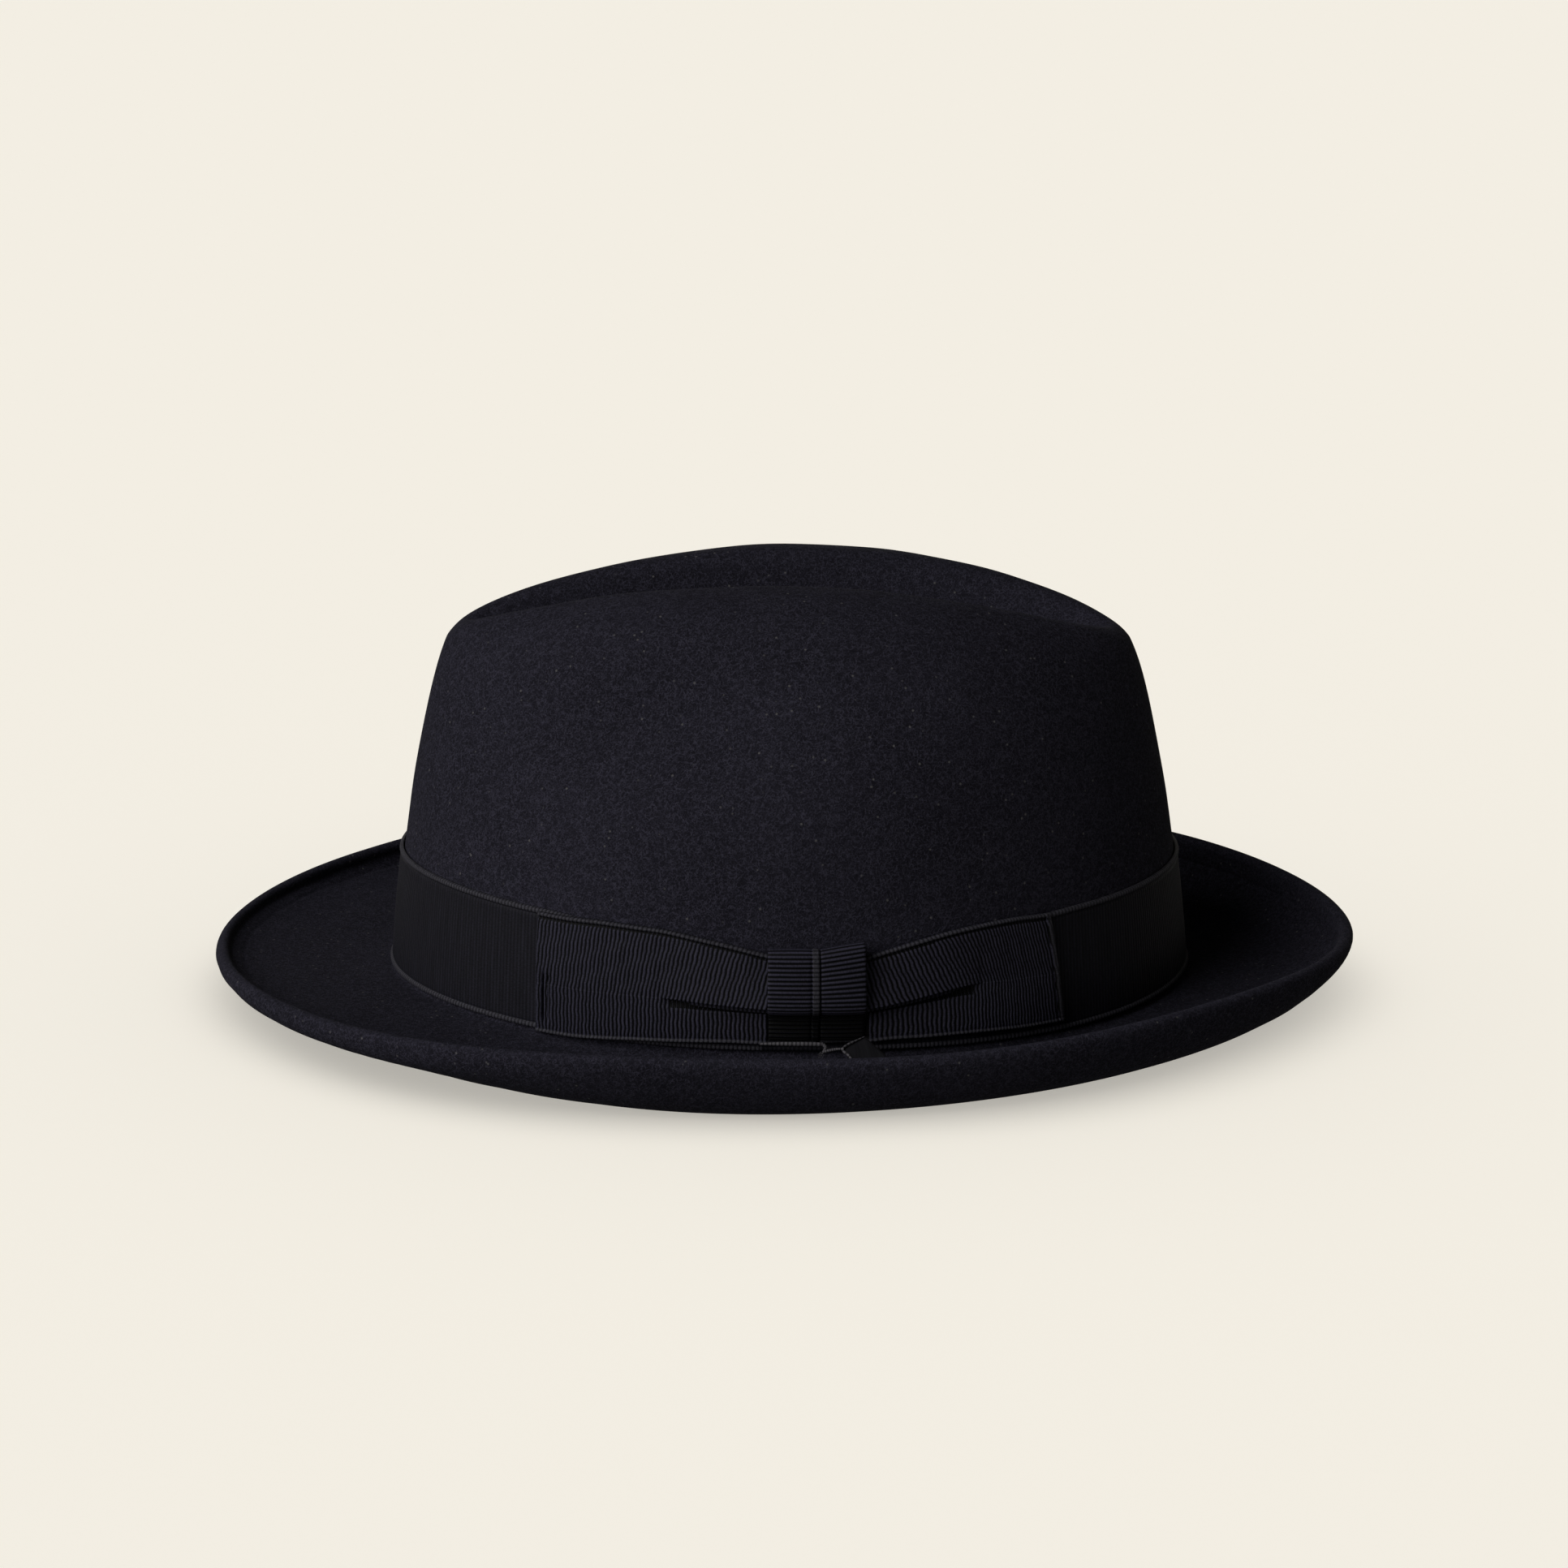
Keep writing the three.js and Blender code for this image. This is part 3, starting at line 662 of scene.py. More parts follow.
@dataclass
class FeltBody:
    """Crown and brim, pressed from one piece of felt."""

    form: HatForm
    columns: int = 384
    welt_width: float = 4.4
    welt_groove: float = 0.3
    welt_lift: float = 0.12
    press_below_ridge: float = 2.1
    press_depth: float = 0.22
    press_width: float = 0.55
    wander: float = 0.15

    def rows_of(self, fine: bool) -> tuple[int, ...]:
        """Numbers of steps over brim, foot, wall, ridge and dent."""
        return (44, 4, 54, 10, 18) if fine else (20, 3, 24, 5, 10)

    def section(self, angle: Array, fine: bool) -> Array:
        """Upper and outer side of the felt, from the lip to the dent's floor line.

        Args:
            angle: an angle for each column.
            fine: whether it gets the rows of the outer side.

        Returns:
            Points, rows by columns.
        """
        form = self.form
        ones = np.ones_like(angle)
        tiny = 1e-3

        def share_of(curve: Any, end: float, length: float) -> Array:
            """Share of a curve that covers a length from one end."""
            step = np.linalg.norm(curve(angle, end * ones) - curve(angle, abs(end - tiny) * ones), axis=-1)
            return np.minimum(0.4, length * tiny / step)

        def leg(curve: Any, shares: Array) -> list[Array]:
            """Points of a curve at rows of shares."""
            return [curve(angle, row) for row in shares]

        def corner(start: Array, middle: Array, end: Array, steps: int) -> list[Array]:
            """Small round between two legs."""
            at = [(i + 1) / (steps + 1) for i in range(steps)]
            return [(1 - k) ** 2 * start + 2 * k * (1 - k) * middle + k * k * end for k in at]

        brim_steps, foot_steps, wall_steps, ridge_steps, dent_steps = self.rows_of(fine)
        near_lip = share_of(form.brim, 1, 8.0)
        lip_rows = brim_steps // 2
        brim_start = share_of(form.brim, 0, form.foot_fillet)
        wall_start = share_of(form.wall, 0, form.foot_fillet)
        wall_end = 1 - share_of(form.wall, 1, form.ridge_roll)
        near_ridge = share_of(form.wall, 1, form.ridge_roll + 5.0)
        dent_start = share_of(form.dent, 0, form.ridge_roll)
        rows = leg(form.brim, [1 - near_lip * k for k in np.linspace(0, 1, lip_rows, endpoint=False)])
        inner = np.linspace(0, 1, brim_steps - lip_rows + 1)
        rows += leg(form.brim, [(1 - near_lip) * (1 - k) + brim_start * k for k in inner])
        low_end = rows[-1]
        foot_end = form.wall(angle, wall_start)
        rows += corner(low_end, form.foot(angle), foot_end, foot_steps)
        close = wall_steps // 4
        lower = np.linspace(0, 1, wall_steps - close, endpoint=False)
        rows += leg(form.wall, [wall_start * (1 - k) + (1 - near_ridge) * k for k in lower])
        upper = np.linspace(0, 1, close + 1)
        rows += leg(form.wall, [(1 - near_ridge) * (1 - k) + wall_end * k for k in upper])
        rows += corner(rows[-1], form.wall(angle, ones), form.dent(angle, dent_start), ridge_steps)
        rows += leg(form.dent, [dent_start * (1 - k) + k for k in np.linspace(0, 1, dent_steps + 1)])
        return np.stack(rows)

    def normals(self, rows: Array, angle: Array) -> Array:
        """Unit normals of the outer side of a section."""
        wide = np.concatenate([rows[:, -1:], rows, rows[:, :1]], 1)
        normal = unit(np.cross(wide[:, 2:] - wide[:, :-2], np.gradient(rows, axis=0)))
        back = np.cos(angle)
        run = self.form.floor(back + 0.01) - self.form.floor(back - 0.01)
        normal[-1] = unit(np.stack([-run[:, 2], 0 * back, run[:, 0]], -1))
        return normal

    def thickness(self, rows: Array) -> Array:
        """Thickness of the felt, which grows towards the lip."""
        nearness = 1 - np.linalg.norm(rows - rows[0], axis=-1) / self.form.lip_roll
        return self.form.felt + (self.form.lip - self.form.felt) * smooth(nearness)

    def waves(self, x: Array, y: Array, z: Array) -> Array:
        """Slow uneven waves of felt worked by hand, some centimetres long and about 1 high."""
        broad = np.sin(x / 11.0 + 1.3 * np.sin(z / 17.0)) * np.sin(z / 13.0 + y / 19.0 + 0.7)
        return broad + 0.6 * np.sin(x / 5.3 - z / 7.1 + 2.0) * np.sin(y / 6.7 + 0.4)

    def relief(self, rows: Array, angle: Array) -> Array:
        """Height added to the outer side: the welt's groove, the second pressed line and a slight wander."""
        steps = np.linalg.norm(np.diff(rows, axis=0), axis=-1)
        from_lip = np.vstack([0 * angle[None], np.cumsum(steps, axis=0)])
        brim_steps, foot_steps, wall_steps, ridge_steps, _ = self.rows_of(True)
        ridge_row = brim_steps + 1 + foot_steps + wall_steps + ridge_steps // 2
        from_ridge = from_lip[ridge_row] - from_lip
        x, y, z = rows[..., 0], rows[..., 1], rows[..., 2]
        groove = -self.welt_groove * hump(from_lip - self.welt_width, 0.45)
        welt = self.welt_lift * smooth((self.welt_width + 0.5 - from_lip) / 2.0)
        pressed = smooth((x - 18) / 12) * smooth((80 - x) / 12) * smooth(-y / 6)
        line = -self.press_depth * hump(from_ridge - self.press_below_ridge, self.press_width) * pressed
        clear_of_ribbon = np.maximum(smooth((z - 38) / 14), smooth((np.hypot(x / 1.25, y) - 93) / 8))
        return groove + welt + line + self.wander * self.waves(x, y, z) * clear_of_ribbon

    def build(self, material: bpy.types.Material) -> HatForm:
        """Builds and dresses the felt.

        Args:
            material: the felt's finish.

        Returns:
            The form, set down where the hat stands.
        """
        form = self.form
        angle = np.linspace(0, 2 * np.pi, self.columns, endpoint=False)
        plain, coarse = self.section(angle, True), self.section(angle, False)
        fine = plain + self.normals(plain, angle) * self.relief(plain, angle)[..., None]
        under = coarse - self.normals(coarse, angle) * self.thickness(coarse)[..., None]
        middle = (fine[0] + under[0]) / 2
        away = unit(plain[0] - plain[1]) * form.lip / 2
        turns = np.radians(np.linspace(180, 0, 10)[1:-1])
        lips = [middle + (fine[0] - middle) * np.cos(t) + away * np.sin(t) for t in turns]
        span = np.stack(lips)[..., 0]
        place = (-(span.min() + span.max()) / 2, 0.0, -under[..., 2].min() - form.rest_flattening)
        rings = np.concatenate([under[::-1], np.stack(lips), fine]) + np.array(place)
        rings[..., 2] = np.maximum(rings[..., 2], 0.0)
        round_lip = np.r_[0, np.cumsum(np.linalg.norm(np.diff(fine[0], axis=0), axis=1))]
        steps = np.linalg.norm(np.diff(rings, axis=0), axis=-1)
        run = np.vstack([0 * angle[None], np.cumsum(steps, axis=0)])
        from_lip = run - run[len(under) + len(lips) // 2]
        marks = {"lip": np.stack([np.broadcast_to(round_lip, from_lip.shape), from_lip], -1)}
        faces = grid_faces(len(rings), self.columns, close_columns=True)
        piece = make_piece("felt_hat", rings, faces, marks, weld=True)
        dress(piece, material, Slot.FELT, "felt_body")
        return replace(form, place=place)


# Ribbon


@dataclass(frozen=True)
class Grosgrain:
    """Ribbed ribbon: its thickness, ribs and woven edges."""

    thick: float = 0.6
    width: float = 30.5
    rib_pitch: float = 1.1
    bead: float = 0.26
    bead_width: float = 0.85
    groove: float = 0.35
    groove_width: float = 0.8
    stitch_in: float = 2.3
    stitch: float = 0.1

    def edge_rows(self) -> Array:
        """Distances from a woven edge that its bead and groove need."""
        bead, groove = self.bead_width, self.groove_width
        near = bead * np.array([0.0, 0.15, 0.35, 0.5, 0.7, 0.9, 1.0])
        return np.r_[near, bead + groove * np.array([0.25, 0.5, 0.75, 1.0, 1.3]), self.stitch_in + 0.25]

    def relief(self, phase: Array, low: Array, high: Array, depth: float, stitched: bool) -> Array:
        """Height of the ribs and edges over the ribbon's face.

        Args:
            phase: count of ribs at each point.
            low: distance from the lower woven edge.
            high: distance from the upper woven edge.
            depth: depth of the ribs.
            stitched: whether a stitched line runs inside the upper edge.

        Returns:
            The heights.
        """
        bead = self.bead_width
        ribbed = smooth((low - bead) / 0.4) * smooth((high - bead - self.groove_width * 0.7) / 0.3)
        height = depth * (rib(phase) - 1) * ribbed
        for from_edge in (low, high):
            round_top = np.sqrt(np.clip(1 - ((from_edge - bead / 2) / (bead / 2)) ** 2, 0, 1))
            height = height + self.bead * round_top * (0.7 + 0.3 * rib(phase)) - 0.3 * (from_edge < 0.01)
        height = height - self.groove * hump(high - bead - self.groove_width / 2, self.groove_width / 2)
        height = height - 0.12 * hump(low - bead - 0.1, 0.25)
        if stitched:
            plain = smooth((2.6 - high) / 0.5) * smooth((high - 0.8) / 0.4)
            height = height - depth * 0.4 * (rib(phase) - 0.6) * plain
            height = height + self.stitch * hump(high - self.stitch_in, 0.22) * (0.5 + rib(phase))
        return height


@dataclass
class HatBand:
    """Ribbon round the foot of the crown."""

    form: HatForm
    weave: Grosgrain
    foot: float = 1.0
    waist: float = 6.5
    bow_back_of_middle: float = 7.0
    bow_reach: float = 73.5
    gap: float = 0.35
    rib_depth: float = 0.07
    samples: int = 6
    # Reach each way from the bow of the band's painted shade.
    painted_shade_reach: float = 14.0

    def height(self, angle: Array) -> Array:
        """Height of the band, drawn down under the bow."""
        bow = self.form.angle_from_left(np.array(self.bow_back_of_middle))
        away = np.abs(np.arctan2(np.sin(angle - bow), np.cos(angle - bow)))
        span = self.form.angle_from_left(np.array(self.bow_reach)) - LEFT
        return self.weave.width - self.waist * smooth(1 - away / span)

    def build(self, material: bpy.types.Material) -> bpy.types.Object:
        """Builds and dresses the band."""
        weave, form = self.weave, self.form
        dense = np.linspace(-np.pi, np.pi, 6001)
        line = form.foot(dense)
        run = np.r_[0, np.cumsum(np.linalg.norm(np.diff(line, axis=0), axis=1))]

        def run_at(place: Array) -> Array:
            """Length round the crown's foot up to an angle."""
            return np.interp(place, dense, run)

        ribs = round(run[-1] / weave.rib_pitch)
        columns = ribs * self.samples
        phase = np.arange(columns) / self.samples
        angle = np.interp(phase / ribs * run[-1], run, dense)
        height = self.height(angle)[None]
        inward = weave.edge_rows()[:, None]
        reach = inward[-1] + 0.4
        middle = reach + np.linspace(0, 1, 9)[:, None] * (height - 2 * reach)
        low = np.concatenate([inward + 0 * height, middle, height - inward[::-1]])
        high = height - low
        face = weave.relief(phase[None], low, high, self.rib_depth, True)
        outer = form.beside_wall(angle, self.foot + low, self.gap + weave.thick + face)
        back = np.array([1.0, 0.66, 0.33, 0.0])[:, None] * height
        inner = form.beside_wall(angle, self.foot + back, self.gap)
        rings = np.concatenate([outer, inner])
        across = np.concatenate([low, back])
        edge = np.concatenate([np.minimum(low, high), np.minimum(back, height - back)])
        bow = run_at(form.angle_from_left(np.array(self.bow_back_of_middle)))
        # Painted shade: near the bow the band's ribs and paler edges are left out, so the band turns
        # near-black under the bow.
        painted_shade = np.abs(phase / ribs * run[-1] - bow)[None] < self.painted_shade_reach
        counts = np.where(painted_shade, np.round(phase)[None], phase[None]) + 0 * across
        edge = edge / weave.bead_width + 9.0 * painted_shade
        marks = {"weave": np.stack([counts, across], -1), "edge": np.stack([edge, 0 * edge + 99.0], -1)}
        faces = grid_faces(len(rings), columns, close_rows=True, close_columns=True)
        piece = make_piece("ribbon_band", rings, faces, marks)
        dress(piece, material, Slot.RIBBON, "hat_band")
        return piece


Line = tuple[tuple[float, float], ...]


def height_line(line: Line, away: Array) -> Array:
    """Height of a smooth line over the band's foot, at lengths away from the middle of the knot."""
    path, _ = even_path(line, 200)
    return np.interp(away, path[:, 0], path[:, 1])


@dataclass(frozen=True)
class WingShape:
    """Measured lines of a wing: pairs of a length away from the middle of the knot and a height or a pull.

    Its pleat ends at crease_end, and its outer end leans towards the knot by end_lean at the top."""

    length: float
    top: Line
    foot: Line
    crease: Line
    pull: Line
    crease_end: float
    end_lean: float


WING_SHAPES = {
    Wing.FRONT: WingShape(
        length=73.7,
        top=(
            (0, 22.4), (13.6, 25.2), (21.6, 27.0), (29.7, 28.5), (38, 29.8),
            (46.4, 30.2), (55, 30.4), (64, 30.1), (74, 30.0),
        ),
        foot=(
            (0, 2.0), (13.6, 2.0), (21.6, 2.2), (29.6, 2.05), (37.8, 1.7),
            (46, 1.3), (54.6, 0.6), (63.5, -0.1), (74, -0.3),
        ),
        crease=((0, 11.4), (13.5, 11.8), (21.4, 12.2), (29.4, 12.6), (35.5, 12.9), (52, 12.6), (74, 12.2)),
        pull=((0, 3.6), (16.5, 3.8), (32.5, 3.9), (46.5, 3.2), (62.5, 2.4), (74, 1.8)),
        crease_end=39.0,
        end_lean=0.0,
    ),
    Wing.BACK: WingShape(
        length=66.1,
        top=(
            (0, 21.4), (12.8, 24.5), (18.5, 25.9), (26.9, 27.9), (35.4, 29.5),
            (44.3, 30.4), (53.6, 30.8), (61, 30.6), (67, 30.4),
        ),
        foot=(
            (0, 2.3), (12.7, 2.5), (18.4, 2.9), (26.6, 3.05), (35, 3.25),
            (43.7, 3.2), (52.8, 2.9), (62.3, 2.7), (67, 2.6),
        ),
        crease=(
            (0, 10.6), (12.6, 11.8), (18.2, 12.6), (26.3, 14.0), (30.5, 14.7),
            (34.7, 15.4), (43.4, 15.8), (67, 15.2),
        ),
        pull=((0, 2.6), (11.5, 3.4), (23.5, 5.0), (35.5, 6.0), (45.5, 5.0), (54.5, 3.2), (67, 1.5)),
        crease_end=41.5,
        end_lean=3.8,
    ),
}


@dataclass
class BowWing:
    """One flat wing of the bow, with its pleat towards the knot."""

    form: HatForm
    weave: Grosgrain
    which: Wing
    seat: float = 1.2
    band_foot: float = 1.0
    bow_back_of_middle: float = 7.0
    thick: float = 1.0
    rib_depth: float = 0.3
    samples: int = 8
    knot_half: float = 12.1
    pleat: float = 2.7
    lower_tuck: float = 0.45
    stand: float = 0.7
    bulge: float = 0.35
    under_knot_tuck: float = 0.5
    fold_shadow: float = 0.79
    fold_tuck: float = 1.4
    crease_depth: float = 0.35
    end_strip: float = 1.75
    slits: tuple[float, float] = (2.4, 4.0)
    slit_heights: tuple[float, float] = (4.0, 15.0)

    @property
    def shape(self) -> WingShape:
        """Measured lines of this wing."""
        return WING_SHAPES[self.which]

    def profile(self, away: Array, below: Array, above: Array) -> tuple[Array, Array, Array]:
        """Shape of the wing across its width.

        Args:
            away: length from the middle of the knot, a value for each column.
            below: shares of the way up the part under the crease, a value for each row.
            above: shares of the way up the part over the crease, a value for each row.

        Returns:
            Heights over the band's foot, distances out from the band, and how far the ribs are pulled.
        """
        shape = self.shape
        from_knot = np.maximum(away - self.knot_half, 0.0)
        top, foot = height_line(shape.top, away), height_line(shape.foot, away)
        crease, pulled = height_line(shape.crease, away), height_line(shape.pull, away)
        near = np.clip((shape.crease_end - away) / (shape.crease_end - self.knot_half), 0.0, 1.0) ** 0.6
        low, up = below[:, None], above[:, None]
        height = np.concatenate([foot + low * (crease - foot), crease + up * (top - crease)])
        level = (height - foot) / (top - foot)
        flare = (1 - up) ** 1.5 * 0.75 + 0.25 * np.sqrt(np.clip(1 - up, 0, 1))
        under_knot = self.under_knot_tuck * smooth((self.knot_half + 1 - away) / 3)
        lower = -self.lower_tuck * near * smooth(low * 1.2) - under_knot
        lower = lower - self.fold_tuck * near * smooth((low - self.fold_shadow) / 0.08)
        out = 0.1 + np.concatenate([lower + 0 * crease, near * self.pleat * flare])
        out += (1 - near) * self.bulge * np.sin(np.pi * np.clip(level, 0, 1)) * smooth(from_knot / 20)
        loose = self.stand * smooth(from_knot / 26) * smooth((shape.length - away) / 24)
        out += loose * smooth(1 - level * 1.8)
        pull = np.concatenate([pulled + 0 * low, pulled * (1 - up)])
        return height, out, pull

    def end_relief(self, relief: Array, from_end: Array, low: Array) -> Array:
        """The relief with the wing's outer end on it: a stitched strip at the back, or slits at the front."""
        if self.which is Wing.BACK:
            strip = smooth((self.end_strip - from_end) / 0.2)
            relief = relief * (1 - strip) + strip * 0.12 * (0.4 + rib(low))
            relief = relief - 0.3 * hump(from_end - self.end_strip - 0.25, 0.22)
        else:
            slit = smooth((low - 2.5) / 1.5) * smooth((16.5 - low) / 2.5)
            outer, inner = self.slits
            relief = relief - (1.2 * hump(from_end - outer, 0.3) + 0.5 * hump(from_end - inner, 0.2)) * slit
        return relief - 0.6 * smooth((0.5 - from_end) / 0.5)

    def dark(self, away: Array, low: Array, high: Array, lower_share: Array) -> Array:
        """Where shade is painted, by leaving out the ribs so that the weave takes its near-black colour:
        under the knot and fold, in the upper groove and in the outer slit.

        Args:
            away: length from the middle of the knot, a value for each column.
            low: distance from the lower woven edge.
            high: distance from the upper woven edge.
            lower_share: share of the way up the part under the crease, a value for each row, or -1 over it.

        Returns:
            True where the weave's ribs are left out, which paints shade there.
        """
        lower_part, column = lower_share[:, None] >= 0, away[None]
        dark = lower_part & (column < self.knot_half + 0.6)
        under_fold = lower_share[:, None] > self.fold_shadow
        dark = dark | (under_fold & (column < self.shape.crease_end - 2.0))
        groove = high - self.weave.bead_width
        dark = dark | ((groove > 0.1) & (groove < self.weave.groove_width * 0.85))
        if self.which is Wing.FRONT:
            foot, top = self.slit_heights
            slit = np.abs(self.shape.length - column - self.slits[0]) < 0.22
            dark = dark | (slit & (low > foot) & (low < top))
        return dark

    def lean(self, points: Array, up: Array, angle: Array, away: Array) -> Array:
        """The points, with the wing's outer end leant towards the knot by how far up they are."""
        length = self.shape.length
        toward_knot = -self.which.value * unit(self.form.foot(angle + 0.001) - self.form.foot(angle - 0.001))
        outer_part = smooth((away - 0.6 * length) / (0.4 * length))[None, :, None]
        up_share = (up / self.weave.width)[..., None]
        return points + toward_knot[None] * self.shape.end_lean * outer_part * up_share

    def build(self, material: bpy.types.Material) -> bpy.types.Object:
        """Builds and dresses the wing."""
        weave, form, shape = self.weave, self.form, self.shape
        start = 0.4
        step = weave.rib_pitch / self.samples
        away = start + step * np.arange(round((shape.length - start) / step) + 1)
        edge_shares = weave.edge_rows()
        close_to_fold = [0.78, 0.8, 0.83, 0.87, 0.91, 0.95, 0.985, 1.0]
        below = np.unique(np.r_[edge_shares / 10.0, np.linspace(0.3, 0.72, 6), close_to_fold])
        above = np.unique(np.r_[[0.0, 0.012, 0.03, 0.06], np.linspace(0.1, 0.78, 12), 1 - edge_shares / 15.0])
        height, out, pull = self.profile(away, below, above)
        low, high = height - height[:1], height[-1:] - height
        sway = 0.1 * np.sin(low * 1.1 + away[None] * 0.35) + 0.07 * np.sin(low * 2.3 - away[None] * 0.9)
        phase = (away[None] - pull + sway) / weave.rib_pitch
        # Painted shade: where the mask holds, the ribs are left out and the weave turns near-black.
        dark = self.dark(away, low, high, np.r_[below, 0 * above - 1])
        phase = np.where(dark, np.round(phase), phase)
        from_end = np.broadcast_to(shape.length - away[None], height.shape)
        relief = weave.relief(phase, low, high, self.rib_depth, False)
        crease_row = len(below)
        near = smooth((shape.crease_end - away) / 6)
        relief[crease_row - 3 : crease_row] -= self.crease_depth * near
        relief = self.end_relief(relief, from_end, low)
        angle = form.angle_from_left(self.bow_back_of_middle + self.which.value * away)
        face = form.beside_wall(angle, self.band_foot + height, self.seat + out + self.thick + relief)
        back_height, back_out, _ = self.profile(away, np.linspace(1, 0, 5)[:4], np.linspace(1, 0, 5))
        order = np.argsort(-back_height[:, 0])
        back_height, back_out = back_height[order], back_out[order]
        stand_off = self.seat + np.clip(back_out, 0, 0.9) * 0.5
        behind = form.beside_wall(angle, self.band_foot + back_height, stand_off)
        back_low = back_height - height[:1]
        rings = np.concatenate([self.lean(face, low, angle, away), self.lean(behind, back_low, angle, away)])
        across = np.concatenate([low, back_low])
        phases = np.concatenate([phase, np.broadcast_to(away / weave.rib_pitch, back_height.shape)])
        edge = np.concatenate([np.minimum(low, high), 0 * back_height + 5]) / weave.bead_width
        ends = np.broadcast_to(shape.length - away, edge.shape) + (0 if self.which is Wing.BACK else 9.0)
        marks = {"weave": np.stack([phases, across], -1), "edge": np.stack([edge, ends], -1)}
        count, columns = rings.shape[:2]
        faces = list(grid_faces(count, columns, close_rows=True))
        for column in (0, columns - 1):
            faces.append([row * columns + column for row in range(count)])
        name = "bow_wing_" + self.which.name.lower()
        piece = make_piece("ribbon_" + name, rings, faces, marks)
        dress(piece, material, Slot.RIBBON, name)
        return piece


@dataclass
class KnotTurn:
    """One turn of ribbon round the middle of the bow, painted near-black as shade where it tucks under below
    shade_from.
    """

    form: HatForm
    weave: Grosgrain
    name: str
    middle: float
    width: float
    rise: float
    woven_side: bool
    node: str
    band_out: float = 1.25
    rib_depth: float = 0.32
    samples: int = 9
    bow_back_of_middle: float = 7.0
    # Below this height the turn's ribs and paler woven strip are left out: painted shade under the knot.
    shade_from: float = 11.6
    strip: float = 1.8
    # out from the band and up from the crown's foot, from behind the upper edge round the front
    corners: Line = (
        (0.3, 25.8), (0.7, 27.0), (2.0, 27.8), (3.5, 27.7), (4.6, 26.6), (5.1, 24.6),
        (5.5, 21.4), (5.8, 18.0), (5.9, 15.2), (5.5, 13.2), (4.3, 11.9), (2.6, 11.0),
        (1.7, 9.4), (1.5, 7.4), (1.4, 5.6), (1.1, 4.5), (0.6, 4.1),
    )

    def build(self, material: bpy.types.Material) -> bpy.types.Object:
        """Builds and dresses the turn."""
        weave, form = self.weave, self.form
        _, length = even_path(self.corners, 2)
        ribs = length[-1] / weave.rib_pitch
        path, run = even_path(self.corners, round(ribs * self.samples) + 1)
        phase = run / weave.rib_pitch
        side = self.width / 2
        near_strip = side - np.array([1.9, 1.75, 1.6, 1.2, 0.7])
        across = np.unique(np.r_[np.linspace(-side, side, 27), near_strip])
        slope = unit(np.gradient(path, axis=0))
        normal = np.stack([slope[:, 1], -slope[:, 0]], -1)
        normal *= np.sign(normal[len(normal) // 2, 0])
        from_side = side - np.abs(across)[None]
        height = self.rib_depth * (rib(phase)[:, None] - 1) * smooth(from_side / 0.25)
        height = height - 0.22 * smooth((0.4 - from_side) / 0.4)
        edge = 0 * height + 5.0
        count_of = np.broadcast_to(phase[:, None], height.shape)
        if self.woven_side:
            strip = smooth((across[None] - (side - self.strip)) / 0.15)
            height = height * (1 - strip) + strip * 0.1 * (0.5 + rib(phase)[:, None])
            height = height - 0.3 * hump(across[None] - (side - self.strip - 0.05), 0.16)
            edge = np.where((strip > 0.5) & (path[:, 1:2] > self.shade_from), 0.2, 5.0)
        tilt = self.rise * (across[None] / self.width + 0.5) * smooth((path[:, 1:2] - 12) / 14)
        height = height * (1 - 0.65 * smooth((path[:, 1:2] - 25.6) / 0.8))
        bulge = 0.15 * (1 - (across[None] / side) ** 2)
        rows = path[:, None, :] + normal[:, None, :] * (height + bulge)[..., None]
        inside = path[:, None, :] - normal[:, None, :] * weave.thick + 0 * rows
        angle = form.angle_from_left(self.bow_back_of_middle + self.middle + across)
        front = form.beside_wall(angle, rows[..., 1] + tilt, self.band_out + rows[..., 0])
        rear = form.beside_wall(angle, inside[..., 1] + tilt, self.band_out + np.maximum(inside[..., 0], 0.1))
        count, columns = front.shape[:2]
        rings = np.concatenate([front, rear[::-1]])
        # Painted shade: below shade_from the ribs are left out, so the tucked-under part turns near-black.
        dark = path[:, 1:2] < self.shade_from
        phases = np.where(dark, np.round(count_of), count_of)
        weaves = [np.concatenate([phases, phases[::-1]]), np.broadcast_to(across, (2 * count, columns))]
        edges = [np.concatenate([edge, 0 * edge + 5]), np.full((2 * count, columns), 99.0)]
        marks = {"weave": np.stack(weaves, -1), "edge": np.stack(edges, -1)}
        faces = list(grid_faces(2 * count, columns, close_rows=True))
        for column in (0, columns - 1):
            for row in range(count - 1):
                pair = [row, row + 1, 2 * count - 2 - row, 2 * count - 1 - row]
                faces.append([r * columns + column for r in pair])
        piece = make_piece(self.name, rings, faces, marks)
        dress(piece, material, Slot.RIBBON, self.node)
        return piece


@dataclass(frozen=True)
class Thread:
    """Round thread: the points that it passes, the radii along it, and how many rings it gets."""

    points: Any
    radii: tuple[float, ...]
    rings: int


# Worn edge that leads to the folded end, over the crown's foot plane
WORN_EDGE = (
    Thread(
        points=((-7.5, -90.6, 4.7), (-2.0, -91.2, 4.9), (4.0, -91.4, 4.9), (8.3, -91.3, 4.8)),
        radii=(0.3, 0.5, 0.55, 0.5),
        rings=40,
    ),
    Thread(
        points=((8.3, -91.3, 4.8), (8.9, -91.8, 4.2), (8.6, -92.2, 3.3), (7.9, -92.7, 2.7)),
        radii=(0.5, 0.42, 0.5, 0.12),
        rings=24,
    ),
    Thread(
        points=((8.1, -92.4, 3.1), (9.6, -92.4, 3.5), (11.4, -92.5, 3.9), (13.3, -93.2, 4.3)),
        radii=(0.35, 0.42, 0.35, 0.22),
        rings=24,
    ),
    Thread(
        points=((13.0, -95.4, 2.3), (13.2, -95.8, 1.9), (13.5, -96.1, 1.6)),
        radii=(0.2, 0.42, 0.15),
        rings=12,
    ),
)


